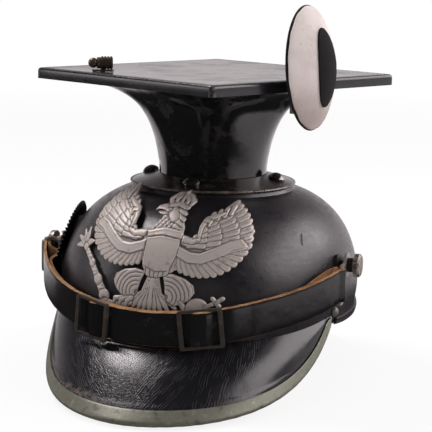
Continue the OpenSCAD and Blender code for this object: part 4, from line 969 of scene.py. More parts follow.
def lay_body_and_head(sheet):
    """A scaled breast, and a head that looks to the viewer's left with its beak open."""
    body = within(BODY, sheet.u, sheet.v)
    sheet.lay(body, 0.35)
    for row in range(6):
        for k in range(8):
            x, y = -8 + 3.0 * k + 1.5 * (row % 2), 15.4 + 2.0 * row
            sheet.alone([(x + 0.5, y + 1.6), (x - 0.4, y - 0.9)], [1.35, 1.25], 0.44, 0.30,
                        rib=0.09, clip=body)
    for k in range(6):
        x = -7.5 + 3.1 * k
        sheet.alone([(x, -8), (x * 0.92, -12.4)], [1.7, 1.4], 0.42, 0.30, rib=0.09, clip=body)
    for k in range(5):
        sheet.alone([(6.0, 26.5 - 3 * k), (10.0 + 0.4 * k, 24.6 - 3 * k)], [1.7, 1.0], 0.50, 0.32, rib=0.12)
    # The face, the lower and the upper beak, the eye and the brow
    sheet.alone([(3.6, 22.6), (0.4, 25.8)], [3.0, 2.9], 0.60, 0.34)
    sheet.alone([(-2.4, 24.2), (-6.4, 23.6), (-8.6, 23.9)], [1.3, 1.0, 0.5], 0.50, 0.28)
    sheet.alone([(-2.0, 26.4), (-6.6, 26.9), (-9.8, 26.2), (-11.0, 24.6)], [1.9, 1.5, 1.0, 0.5], 0.60, 0.34)
    sheet.ball(-0.9, 26.3, 0.75, 0.66, 0.34)
    sheet.alone([(-3.2, 27.7), (-0.6, 28.2), (2.2, 27.2)], [0.5, 0.7, 0.5], 0.82, 0.2)


def lay_crown(sheet):
    """A jewelled band, five arches and a ball."""
    sheet.lay(within(CROWN, sheet.u, sheet.v), 0.22)
    for points in CROWN_ARCHES:
        sheet.alone(points, [1.25] * len(points), 0.46, 0.38, barbs=0.05)
    sheet.alone([(-2.2, 28.4), (3.4, 29.3), (9.4, 28.0)], [1.25] * 3, 0.56, 0.28)
    for k in range(6):
        sheet.ball(-1.6 + 2.1 * k, 28.6 + 0.5 * sin(36 * k), 0.5, 0.78, 0.2)
    sheet.ball(3.3, 35.0, 1.1, 0.6, 0.3)


def lay_sceptre_and_orb(sheet):
    """A leafy head, a twisted shaft with knobs, a foot in the claws, and the banded orb with its cross."""
    for x, y in SCEPTRE_LEAVES:
        sheet.alone([(-57, -5), ((x - 57) / 2, (y - 5) / 2 + 0.6), (x, y)], [1.5, 2.0, 0.9], 0.34, 0.34,
                    rib=0.14)
    sheet.alone([(-57, -5.5), (-50, -11.5), (-43.5, -18.5), (-38.5, -25), (-34.5, -30.5)],
                [1.8, 2.0, 2.3, 2.8, 3.2], 0.44, 0.30, twist=0.09)
    for x, y, r in ((-56.4, -6, 2.4), (-47.6, -13.8, 2.7), (-40.4, -22.4, 3.5), (-33.8, -31.6, 4.4)):
        sheet.ball(x, y, r, 0.50, 0.36)
    sheet.alone([(-33, -34.8), (-26, -35.6), (-19, -34.2), (-13.5, -32)], [2.4, 2.2, 2.1, 1.8], 0.42, 0.30,
                twist=0.08)
    for x in (-26, -21.5, -17):
        sheet.alone([(-13, -28.5), (x + 1, -31), (x, -35.6)], [1.6, 1.5, 0.8], 0.60, 0.32)
    sheet.alone([(20, -27), (23, -31), (28, -32)], [1.6, 2.0, 1.8], 0.44, 0.3)
    sheet.ball(*ORB, 0.30, 0.60)
    x, y, r = ORB
    aside, up = sheet.u - x, sheet.v - y
    band = (np.hypot(aside, up) < r - 0.3) & (np.abs(up + 0.45 * aside) < 0.9)
    sheet.high = np.where(band, sheet.high + 0.10, sheet.high)
    for line in ORB_CROSS:
        sheet.alone(line, [1.3, 1.5], 0.42, 0.22)


def eagle_relief(u, v):
    """Distance inside the eagle's outline, and the height of its relief from 0 to about 1."""
    sheet = Relief(u, v)
    for lay in (lay_wings, lay_tail_and_legs, lay_body_and_head, lay_crown, lay_sceptre_and_orb):
        lay(sheet)
    # Ribbons over both wings and over the breast, and the shield. All three are bare.
    sheet.stroke([(51.5, 9.5), (44, 7.6), (40.5, 4.8)], [1.8, 1.9, 1.4], 0.44, 0.16)
    sheet.ribbon(BANNER, 0.72, True)
    sheet.ribbon(SHIELD, 0.80, False)
    sheet.ribbon(ARCH, 0.88, False)
    return sheet.inside, np.clip(sheet.high, 0, 1.05)


def eagle_point(u, v, off):
    """Where a point of the flat figure lies once it is laid round the skull."""
    x = PLATE["u"] + u * cos(PLATE["lean"]) + v * sin(PLATE["lean"])
    z = PLATE["z"] - u * sin(PLATE["lean"]) + v * cos(PLATE["lean"])
    on = z if z < PLATE["foot"] else PLATE["foot"] + (z - PLATE["foot"]) * PLATE["stand"]
    return Vector((x, -front_y(x, on, off), z))


def blurred(field, times):
    """A field of heights, smoothed so many times."""
    for _ in range(times):
        wide = np.pad(field, 1, mode="edge")
        field = (wide[:-2, 1:-1] + wide[2:, 1:-1] + wide[1:-1, :-2] + wide[1:-1, 2:] + 4 * field) / 8
    return field


# Operators, one for each piece or group of like pieces

class CapOperator:
    """What all of the cap's operators share."""
    bl_options = {"REGISTER", "UNDO"}

    def execute(self, context):
        self.build(context.scene.cap_looks)
        return {"FINISHED"}


class CAP_OT_skull(CapOperator, bpy.types.Operator):
    """Builds the leather skull"""
    bl_idname, bl_label = "cap.skull", "Skull"

    def build(self, looks):
        n, levels = 160, 34
        rows = []
        for k in range(levels + 1):
            z = SKULL["h"] * sin(90 * k / levels)
            row = []
            for i in range(n):
                phi = i * 360 / n
                r = skull_r(phi, z)
                lift = 0.22 * waviness(at(phi, r, z), 17, 1.0) * clamp((SKULL["h"] - z) / 20)
                row.append(at(phi, r + lift, z))
            rows.append(row)
        for r in (SKULL["ring"] - 2, COLLAR["seat"], CROWN_HOLE):
            rows.append([at(i * 360 / n, r, crown_z(r)) for i in range(n)])
        piece = lay_rows("skull_shell", rows, wrap=True)
        face_out(piece, (0, 0, 30))
        thicken(piece, SKULL["t"], even=True)
        bevel(piece, 0.7, 2, 50)
        set_down(piece, "helmet", "skull_leather", [skull_leather(looks)], ("skull",), 40)


class CAP_OT_peak(CapOperator, bpy.types.Operator):
    """Builds the crackled front peak and its metal trim, and finishes the trim's end studs"""
    bl_idname, bl_label = "cap.peak", "Peak and trim"

    def build(self, looks):
        peak = lay_rows("crackled_peak", [self.peak_row(s) for s in self.spread(180)], wrap=True, caps=True)
        set_down(peak, "helmet", "peak_leather", [crackled_leather(looks)], ("front_peak",), 50)

        stations = [clamp(s, -TRIM_END, TRIM_END) for s in self.spread(200)]
        trim = lay_rows("rolled_trim", [self.trim_row(s, j) for j, s in enumerate(stations)])
        face_out(trim, (0, -110, -20))
        thicken(trim, TRIM_T, 0)
        bevel(trim, 0.18, 2, 60)
        olive = metal("olive trim", looks.metal.trim, (0.29, 0.285, 0.24), 0.35, 0.42, (0.075, 0.056, 0.038),
                      5, 0.10, 0.8)
        set_down(trim, "helmet", "trim_metal", [olive], ("peak_trim",), 45)
        coat_node("trim_end_studs", olive)

    @staticmethod
    def spread(n):
        """Places along the peak, from its one end at -1 to the other at 1."""
        return [-1 + 2 * j / n for j in range(n + 1)]

    @staticmethod
    def peak_row(s):
        """One closed section of the peak: its arched top, its round edge and its underside."""
        steps, round_steps = 30, 5
        a, b, normal = peak_root(s), peak_edge(s), peak_normal(s)
        out, length = (b - a).normalized(), (b - a).length
        reach = trim_reach(a, b)
        flat = 1 - 1.1 * reach / length
        edge_r = min(PEAK["t"] / 2, length / 4)
        line, under = [], []
        for k in range(steps + 1):
            u = (k / steps) * (1 - edge_r / length)
            from_edge = (1 - u) * length
            rise = PEAK["crown"] * flat * math.sin(math.pi * clamp(u / flat))
            # The leather swells a little where the trim's edge presses it
            ridge = 0.45 * math.exp(-((from_edge - reach - 2.2) / 1.1) ** 2) * clamp(length / 20 - 0.4)
            point = a + (b - a) * u + normal * (rise + ridge)
            point += normal * 0.12 * waviness(point, 9, 3.0) * clamp(from_edge / 12 - 1)
            line.append(outside(point))
            if k % 3 == 0:
                under.append(outside(a + (b - a) * u + normal * (rise - PEAK["t"])))
        middle = b - out * edge_r - normal * PEAK["t"] / 2
        nose = [middle + (out * math.sin(w) + normal * math.cos(w)) * edge_r
                for w in (math.pi * k / round_steps for k in range(1, round_steps))]
        return line + nose + under[::-1]

    @staticmethod
    def trim_row(s, j):
        """One open section of the trim, folded round the peak's edge, with small dents along it."""
        arc_steps = 9
        a, b, normal = peak_root(s), peak_edge(s), peak_normal(s)
        out, wide = (b - a).normalized(), trim_reach(a, b)
        edge_r = PEAK["t"] / 2
        arc_r = edge_r + SEAM + TRIM_T / 2
        middle = b - out * edge_r - normal * PEAK["t"] / 2
        start, end = -(wide - edge_r), -(0.6 * wide - edge_r)
        dent = 0.07 * math.sin(j * 1.31) * math.sin(j * 0.37) + 0.05 * math.sin(j * 0.9 + 1)
        line = [middle + out * (start * (1 - k / 6) + 0.25 * dent) + normal * arc_r for k in range(6)]
        line += [middle + (out * math.sin(w) + normal * math.cos(w)) * (arc_r + dent * math.sin(w))
                 for w in (math.pi * k / arc_steps for k in range(arc_steps + 1))]
        return line + [middle + out * end * k / 4 - normal * arc_r for k in range(1, 5)]


class CAP_OT_guard(CapOperator, bpy.types.Operator):
    """Builds the neck guard"""
    bl_idname, bl_label = "cap.guard", "Neck guard"

    def build(self, looks):
        n, steps = 200, 16
        rows = []
        for j in range(n + 1):
            s = -1 + 2 * j / n
            a, b, normal = guard_root(s), guard_edge(s), guard_normal(s)
            length = (b - a).length
            t = GUARD["t"]
            inner, outer = [], []
            for k in range(steps + 1):
                u = k / steps
                rise = GUARD["swell"] * sin(180 * u)
                seam = 0.35 * math.exp(-(((1 - u) * length - 2.0) / 0.45) ** 2)
                low = a + (b - a) * u + normal * (rise - t * u)
                inner.append(outside(low) if low.z > 0 else low)
                outer.append(a + (b - a) * u + normal * (t * (1 - u) + rise - seam))
            rows.append(inner + outer[::-1])
        piece = lay_rows("guard_leather", rows, wrap=True, caps=True)
        set_down(piece, "helmet", "peak_leather", [skull_leather(looks)], ("neck_guard",), 50)


class CAP_OT_collar(CapOperator, bpy.types.Operator):
    """Finishes the collar plate and its studs"""
    bl_idname, bl_label = "cap.collar", "Collar"

    def build(self, looks):
        coat_node("collar_plate", collar_metal())
        coat_node("collar_studs", metal("black studs", (0.16, 0.15, 0.147), (0.24, 0.22, 0.205), 0.95, 0.17,
                                        (0.05, 0.042, 0.036), 6, 0.02, 0.4))


class CAP_OT_neck(CapOperator, bpy.types.Operator):
    """Builds the lacquered neck"""
    bl_idname, bl_label = "cap.neck", "Neck"

    def build(self, looks):
        n, levels = 176, 44
        heights = [NECK["foot"] + (NECK["top"] - NECK["foot"]) * (1 - (1 - k / levels) ** 1.3)
                   for k in range(levels + 1)]
        rows = []
        for z in heights:
            fade = clamp((z - NECK["foot"]) / 12) * clamp((NECK["top"] - z) / 8)
            rows.append([p + Vector((p.x, p.y, 0)).normalized() * 0.28 * fade * waviness(p, 13, 5.0)
                         for p in neck_ring(z, n)])
        piece = lay_rows("lacquered_neck", rows, wrap=True)
        face_out(piece, (0, 0, 125))
        thicken(piece, NECK["t"], even=True)
        set_down(piece, "top", "lacquer", [lacquer(looks)], ("neck",), 50)


class CAP_OT_board(CapOperator, bpy.types.Operator):
    """Builds the leather-covered square board"""
    bl_idname, bl_label = "cap.board", "Board"

    def build(self, looks):
        top, under = BOARD["top"], BOARD["top"] - BOARD["t"]
        # Rings from the leather's lower edge over the rounded rim, through a fine groove, to the middle
        profile = [(0, under), (0, under + 2)] + [(inset, top - down) for inset, down in (
            (0, 2.6), (0.15, 1.5), (0.6, 0.6), (1.4, 0.12), (2.4, 0), (3.4, 0.02), (3.9, 0.1), (4.15, 0.5),
            (4.5, 0.62), (4.85, 0.5), (5.1, 0.12), (5.7, 0.05), (9, 0.1), (16, 0.3), (28, 0.5), (44, 0.75),
            (62, 0.85), (80, 0.9), (BOARD["side"] / 2 - 0.2, 0.9), (BOARD["side"] / 2, 0.9))]
        rows = [self.ring(inset, z) for inset, z in profile]
        piece = lay_rows("board_leather_cover", rows, wrap=True)
        face_out(piece, (0, 0, under))
        thicken(piece, BOARD["leather"])
        set_down(piece, "top", "board_leather", [board_leather()], ("board_cover",), 40)
        coat_node("board_underside", lacquer(looks))
        coat_node("board_core", pressed_board())

    @staticmethod
    def ring(inset, z):
        """One round-cornered square about the board's middle, with a little unevenness."""
        half = BOARD["side"] / 2 - inset
        r = min(max(3 - inset * 0.4, 0.6), half)
        line = []
        for quarter in range(4):
            turn = turned("Z", 90 * quarter)
            for k in range(9):
                w = 90 * k / 8
                line.append(turn @ Vector((half - r + r * cos(w), half - r + r * sin(w), z)))
            for k in range(1, 28):
                y = (half - r) * (1 - k / 14)
                line.append(turn @ Vector((y, half, z)))
        rough = clamp(inset / 6 - 1) if inset > 5 else 0.0
        for p in line:
            wave = 0.10 * waviness(p, 16, 4.0)
            p.z += wave * (0.6 if inset > 3.5 else 0.25) + 0.22 * rough * waviness(p, 34, 2.0)
            shrink = 1 - 0.0006 * (1 + math.sin(p.x / 11) * math.sin(p.y / 9))
            p.x, p.y = p.x * shrink, p.y * shrink
        return [ON_TOP @ turned("Z", 45) @ p for p in line]


class CAP_OT_badge(CapOperator, bpy.types.Operator):
    """Builds the field badge: its back, felt and black centre"""
    bl_idname, bl_label = "cap.badge", "Field badge"

    def build(self, looks):
        backing = metal("black backing", (0.012, 0.012, 0.012), (0.035, 0.033, 0.03), 0.2, 0.5)
        layers = (("badge_backing", 0.0, 0.0, 0.8, 0.0, backing, "cockade_metal", "badge_back"),
                  ("badge_felt_layer", 0.7, 0.95, 1.2, 0.11, felt(looks), "felt", "badge_felt"),
                  ("badge_black_oval", None, 2.45, 0.9, 0.10, black_cloth(), "cockade_metal", "badge_centre"))
        for name, inset, lift, t, rough, material, slot, node in layers:
            a, b = BADGE_OVAL if inset is None else (BADGE["half_w"] - inset, BADGE["half_h"] - inset)
            piece = lay_rows(name, self.rings(a, b, lift, t, rough), wrap=True, closed=True)
            set_down(piece, "badge", slot, [material], (node,), 60)

    @staticmethod
    def rings(a, b, lift, t, rough):
        """Rings from the back's middle round the edge to the front's middle, with a woven roughness."""
        n = 96
        shares = [0.0, 0.12, 0.25, 0.4, 0.55, 0.7, 0.82, 0.92, 0.975]
        levels = [(q, 0.0) for q in shares] + [(0.997, 0.16), (1.0, 0.5), (0.997, 0.84)] + [
            (q, 1.0) for q in reversed(shares)]
        rows = []
        for q, up in levels:
            row = []
            for i in range(n):
                w = 2 * math.pi * i / n
                ragged = 1 + 0.032 * rough * math.sin(i * 7.3) * (q > 0.9)
                x, y = a * q * ragged * math.cos(w), b * q * ragged * math.sin(w)
                z = lift + t * up + BADGE["dome"] * (
                    1 - (x / BADGE["half_w"]) ** 2 - (y / BADGE["half_h"]) ** 2)
                weave = (math.sin(x * 1.9 + y * 0.7) + math.sin(y * 1.3 - x * 0.8)) / 2
                z += rough * up * weave * min(q * 4, 1)
                row.append(ON_BADGE @ Vector((x, y, z)))
            rows.append(row)
        return rows


class CAP_OT_eagle(CapOperator, bpy.types.Operator):
    """Builds the eagle plate's relief"""
    bl_idname, bl_label = "cap.eagle", "Eagle plate"

    def build(self, looks):
        step = 0.4
        u, v = np.meshgrid(np.arange(-69, 59, step), np.arange(-41, 39, step))
        inside, high = eagle_relief(u, v)
        # Painted shade lies where the sheet is lower than what surrounds it, and along its edge
        hollow_shade = np.clip((blurred(high, 8) - high) * 7.0 + (blurred(high, 60) - high) * 1.6
                         + (1.0 - np.clip(inside, 0, 1)) * 0.3, 0, 1)
        high = blurred(high, 1)
        # Points just outside the outline move onto it
        gu, gv = np.gradient(inside, step, axis=1), np.gradient(inside, step, axis=0)
        size = np.hypot(gu, gv) + 1e-9
        edge = (inside < 0) & (inside > -2 * step)
        u, v = (np.where(edge, place - slope / size * inside, place) for place, slope in ((u, gu), (v, gv)))
        ground = PLATE["gap"] + PLATE["t"] * 0.75
        piece = lay_grid("eagle_relief", [
            [eagle_point(x, y, ground + lift * looks.metal.relief / MM) for x, y, lift in zip(*line)]
            for line in zip(u, v, high)])
        pits = piece.data.attributes.new("hollow_shade", "FLOAT", "POINT")
        pits.data.foreach_set("value", hollow_shade.ravel().astype(np.float32))
        flat = inside.ravel()

        def off_the_plate(face):
            depths = [flat[i] for i in face.vertices]
            return max(depths) <= 0 or min(depths) < -1.5 * step

        drop_faces(piece, off_the_plate)
        face_out(piece, (0, 0, 40))
        thicken(piece, PLATE["t"] * 0.7)
        plate = metal("eagle metal", looks.metal.eagle, (0.50, 0.46, 0.425), 0.30, 0.47, (0.24, 0.205, 0.18),
                      5, 0.13, 0.70, looks.metal.eagle_hollow_shade)
        set_down(piece, "helmet", "plate_metal", [plate], ("eagle_plate",), 60)


class CAP_OT_cockade(CapOperator, bpy.types.Operator):
    """Builds the serrated cockade, with its ripples and its two fine rings"""
    bl_idname, bl_label = "cap.cockade", "Cockade"

    def build(self, looks):
        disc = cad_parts["cockade"]
        spots = np.array([disc.matrix_world @ v.co for v in disc.data.vertices]) / MM
        middle = (spots.min(0) + spots.max(0)) / 2
        facing = np.linalg.svd(spots - middle, full_matrices=False)[2][2]
        facing = facing if facing[0] < 0 else -facing
        up = (spots - middle) @ facing
        bore = np.linalg.norm(spots - middle - np.outer(up, facing), axis=1).min()
        facing, middle = Vector(facing), Vector(middle)
        ahead = facing.cross(Vector((0, 0, 1))).normalized()
        above = ahead.cross(facing)
        back, front = float(up.min()), float(up.max())

        def point(way, tooth, r, level):
            """Pleats rise towards the teeth, and two rings are pressed into the front."""
            wave = COCKADE["ripple"] * tooth * ease((r - 19) / 9)
            ring = sum(0.3 * math.exp(-((r - groove) / 0.5) ** 2) for groove in COCKADE["rings"])
            return middle + way * r + facing * (level + wave - ring * (level > back))

        rows, steps = [], COCKADE["teeth"] * 6
        for i in range(steps):
            w = 360 * i / steps
            tooth = (1 + cos(w * COCKADE["teeth"])) / 2
            rim = COCKADE["r"] - COCKADE["tooth"] * (1 - tooth)
            way = ahead * cos(w) + above * sin(w)
            radii = [bore, 6, 10, 12.2, 13, 13.8, 17, 20.2, 21, 21.8, 24, 26.5, rim - 0.5]
            section = ([(r, front) for r in radii] + [(rim, front - 0.35), (rim, back + 0.35)]
                       + [(r, back) for r in radii[::-1]])
            rows.append([point(way, tooth, r, level) for r, level in section])
        piece = lay_rows("cockade_disc", rows, wrap=True, ring=True)
        dull = metal("dull black", (0.007, 0.007, 0.007), (0.028, 0.026, 0.025), 0.2, 0.46)
        set_down(piece, "helmet", "cockade_metal", [dull], ("cockade",), 50)


class CAP_OT_posts(CapOperator, bpy.types.Operator):
    """Finishes the side posts, washers, lugs and buckles"""
    bl_idname, bl_label = "cap.posts", "Posts, lugs and buckles"

    def build(self, looks):
        grey = metal("worn grey fittings", looks.metal.lug, (0.42, 0.385, 0.355), 0.45, 0.38,
                     (0.06, 0.045, 0.035), 4, 0.07, 0.75)
        dark = metal("dark washers", (0.045, 0.038, 0.034), (0.14, 0.12, 0.105), 0.4, 0.42,
                     (0.02, 0.016, 0.013), 5, 0.07)
        brown = metal("brown buckles", looks.metal.buckle, (0.13, 0.115, 0.095), 0.4, 0.36,
                      (0.03, 0.022, 0.016), 6, 0.06)
        for node in ("lug_left", "lug_right"):
            coat_node(node, grey)
        for node in ("side_post_left", "side_post_right"):
            low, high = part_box(node)
            coat_node(node, post_metal(looks, max(-low[0], high[0]) - POST_HEAD * MM))
        coat_node("post_washers", dark)
        for node in ("buckle_left", "buckle_right"):
            bpy.ops.object.select_all(action="DESELECT")
            bpy.ops.mesh.primitive_plane_add()
            wire = named(node + "_wire")
            wire.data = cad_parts[node].data.copy()
            wire.data.materials.clear()
            edit(wire, (bpy.ops.mesh.remove_doubles, {"threshold": 1e-6}),
                 (bpy.ops.mesh.dissolve_limited, {"angle_limit": math.radians(1)}))
            bevel(wire, 0.75, 3, 50)
            set_down(wire, "chinstrap", "fitting_metal", [brown], (node,), 40)


class CAP_OT_strap(CapOperator, bpy.types.Operator):
    """Builds both halves of the chinstrap, with raw edges and folded ends"""
    bl_idname, bl_label = "cap.strap", "Chinstrap"

    def build(self, looks):
        level = STRAP["t"] + STRAP["layer_gap"]
        materials = (strap_leather(), raw_leather(looks), suede())
        stop, end_t, steps = STRAP["left"] - 1, BUCKLES[1], 240
        # Where the two halves overlap, the left one lies outside, hops over the buckle and ends at the other
        end_out = level + 0.8 + BAR_R + STRAP["t"]
        left = []
        for i in range(steps + 1):
            t = end_t + (stop - end_t) * i / steps
            hop = STRAP["hop"] * (1 - ease((abs(t - BUCKLES[0]) - 1.2) / 4.2))
            out = level * (1 - ease((t - 25) / 9)) + hop + (end_out - level) * ease((end_t + 5 - t) / 4)
            left.append((strap_path(t, out), self.outward(t)))
        self.piece("strap_left_leather", left + self.wrap(STRAP["left"], 26), materials, "strap_left")

        # The right half's folded end lies against the strap, but near the lug it bulges in towards the skull
        stop, steps, start = 1 - STRAP["right"], 110, -36.0
        spots = []
        for i in range(steps + 1):
            t = start + (stop - start) * i / steps
            bulge = STRAP["bulge"] * math.exp(-((t - STRAP["bulge_at"]) / 3.4) ** 2) * ease((t - stop) / 3)
            spots.append(strap_path(t, -level - bulge) - Vector((0, 0, 0.8)))
        inner = []
        for i, p in enumerate(spots):
            way = spots[min(i + 1, steps)] - spots[max(i - 1, 0)]
            inner.append((p, Vector((way.y, -way.x, 0)).normalized()))
        steps = 220
        angles = [stop + (BUCKLES[0] - 3 - stop) * i / steps for i in range(steps + 1)]
        right = inner + self.wrap(-STRAP["right"], 0) + [(strap_path(t, 0), self.outward(t)) for t in angles]
        self.piece("strap_right_leather", right, materials, "strap_right")

    @staticmethod
    def outward(t):
        """The direction away from the skull, square to the strap's path."""
        d = strap_path(t + 0.2, 0) - strap_path(t - 0.2, 0)
        return Vector((d.y, -d.x, 0)).normalized()

    def wrap(self, t, tail):
        """The strap's line round a lug's bar, and the end behind it, which rises a little near the bar."""
        side = 1 if t > 0 else -1
        centre, face = strap_path(t, 0), self.outward(t)
        ahead = Vector((-face.y, face.x, 0)) * side
        r = BAR_R + STRAP["t"] / 2 + 0.05
        line = []
        for k in range(25):
            w = math.pi * k / 24
            way = face * math.cos(w) + ahead * math.sin(w)
            line.append((centre + way * r, way.normalized()))
        for k in range(1, tail + 1):
            behind = t - side * k * 1.1
            rise = Vector((0, 0, STRAP["tail_rise"] * sin(180 * clamp(k / STRAP["tail_steps"]) ** 0.7)))
            away = self.outward(behind)
            line.append((strap_path(behind, 0) + rise - away * (r + STRAP["layer_gap"]), -away))
        return line if side > 0 else line[::-1]

    @staticmethod
    def piece(name, line, materials, node):
        """Sweeps the strap's section along its line: a black outer face, tan edges and a suede inner face."""
        half, t = STRAP["w"] / 2, STRAP["t"] / 2
        n = 10
        rows = []
        for j, (p, face) in enumerate(line):
            wob = 0.16 * math.sin(j * 0.21) + 0.10 * math.sin(j * 0.57 + 1)
            top, low = half + wob * 0.6, half - 0.12 * math.sin(j * 0.33 + 2)
            ring = []
            for i in range(n + 1):
                z = -low + (low + top) * i / n
                pad = 0.18 * (1 - (2 * i / n - 1) ** 4)
                ring.append(p + face * (t - 0.32 + pad + 0.14 * (0 < i < n)) + Vector((0, 0, z)))
            # The raw upper edge rises towards the inner face, so that it shows
            fuzz = 0.12 * math.sin(j * 1.9) * math.sin(j * 0.77)
            ring.append(p + face * (t * 0.75) + Vector((0, 0, top + 0.12)))
            ring.append(p - face * (t * 0.80) + Vector((0, 0, top + 0.85 + fuzz)))
            for i in range(n, -1, -1):
                z = -low + (low + top + 0.7 + fuzz) * i / n
                ring.append(p - face * (t - 0.15) + Vector((0, 0, z)))
            ring.append(p - face * (t * 0.55) + Vector((0, 0, -low - 0.10)))
            ring.append(p + face * (t * 0.55) + Vector((0, 0, -low - 0.12)))
            rows.append(ring)
        piece = lay_rows(name, rows, wrap=True, caps=True,
                         side_of=lambda i: 0 if i < n else 2 if n + 3 <= i < 2 * n + 3 else 1)
        set_down(piece, "chinstrap", "strap_leather", materials, (node,), 50)


class CAP_OT_lining(CapOperator, bpy.types.Operator):
    """Builds the sweatband and the lining's tongues"""
    bl_idname, bl_label = "cap.lining", "Lining"

    def build(self, looks):
        hide = lining_leather(looks)
        n = 144
        z0, z1, deep, t = LINING["z"], LINING["z"] + LINING["h"], LINING["in"], LINING["t"]
        section = [(z0, 0.2), (z0 + 0.3, 0), *[(z0 + (z1 - z0) * k / 8, 0) for k in range(1, 8)],
                   (z1 - 0.3, 0), (z1, 0.2), (z1, t - 0.2), (z1 - 0.3, t),
                   *[(z0 + (z1 - z0) * k / 8, t + 0.25 * math.sin(k * 2.2)) for k in range(7, 0, -1)],
                   (z0 + 0.3, t), (z0, t - 0.2)]
        rows = [[at(i * 360 / n, skull_r(i * 360 / n, z, -deep - inward), z) for z, inward in section]
                for i in range(n)]
        band = lay_rows("sweatband_leather", rows, wrap=True, ring=True)
        set_down(band, "helmet", "lining_leather", [hide], ("sweatband",), 50)

        foot, p = z1 - 7, LINING["p"]
        for k in range(LINING["count"]):
            mid, half = (k + 0.5) * 360 / LINING["count"], 0.84 * 180 / LINING["count"]
            rows = []
            for i in range(33):
                u = 0.88 * i / 32
                wide = half * (1 - 0.4 * ease((i - 24) / 8)) * (1 if i < 30 else (0.93, 0.8, 0.55)[i - 30])
                z = foot + LINING["tongue_h"] * u
                shrink = (1 - u ** p) ** (1 / p)
                outer, inner = [], []
                for j in range(9):
                    phi = mid + wide * (j / 4 - 1)
                    r = skull_r(phi, foot, -deep - t - 0.7) * shrink
                    puff = 1.2 * math.sin(math.pi * j / 8) * math.sin(math.pi * i / 32)
                    outer.append(at(phi, r - puff, z))
                    inner.append(at(phi, r - puff - (1 - 0.5 * u), z - u))
                rows.append(outer + inner[::-1])
            tongue = lay_rows(f"lining_tongue_{k + 1}", rows, wrap=True, caps=True)
            set_down(tongue, "helmet", "lining_leather", [hide], ("lining_tongues",), 50)


class CAP_OT_fittings(CapOperator, bpy.types.Operator):
    """Finishes the hook, the badge's prong and the fittings inside"""
    bl_idname, bl_label = "cap.fittings", "Hook and inner fittings"

    def build(self, looks):
        rust = metal("browned hook", (0.085, 0.058, 0.042), (0.20, 0.165, 0.14), 0.5, 0.30,
                     (0.03, 0.02, 0.014), 4, 0.10)
        dark = metal("dark fittings", (0.05, 0.044, 0.04), (0.13, 0.115, 0.10), 0.4, 0.45)
        steel = metal("plain steel", (0.30, 0.27, 0.245), (0.45, 0.42, 0.39), 0.7, 0.38,
                      (0.10, 0.07, 0.05), 6, 0.06)
        coat_node("cap_line_hook", rust)
        for node in ("hook_plate", "hook_nut", "stud_nuts", "eagle_nuts", "post_nuts", "bayonet_pins"):
            coat_node(node, dark)
        for node in ("crown_ring", "turn_ring", "badge_socket", "badge_prong"):
            coat_node(node, steel)


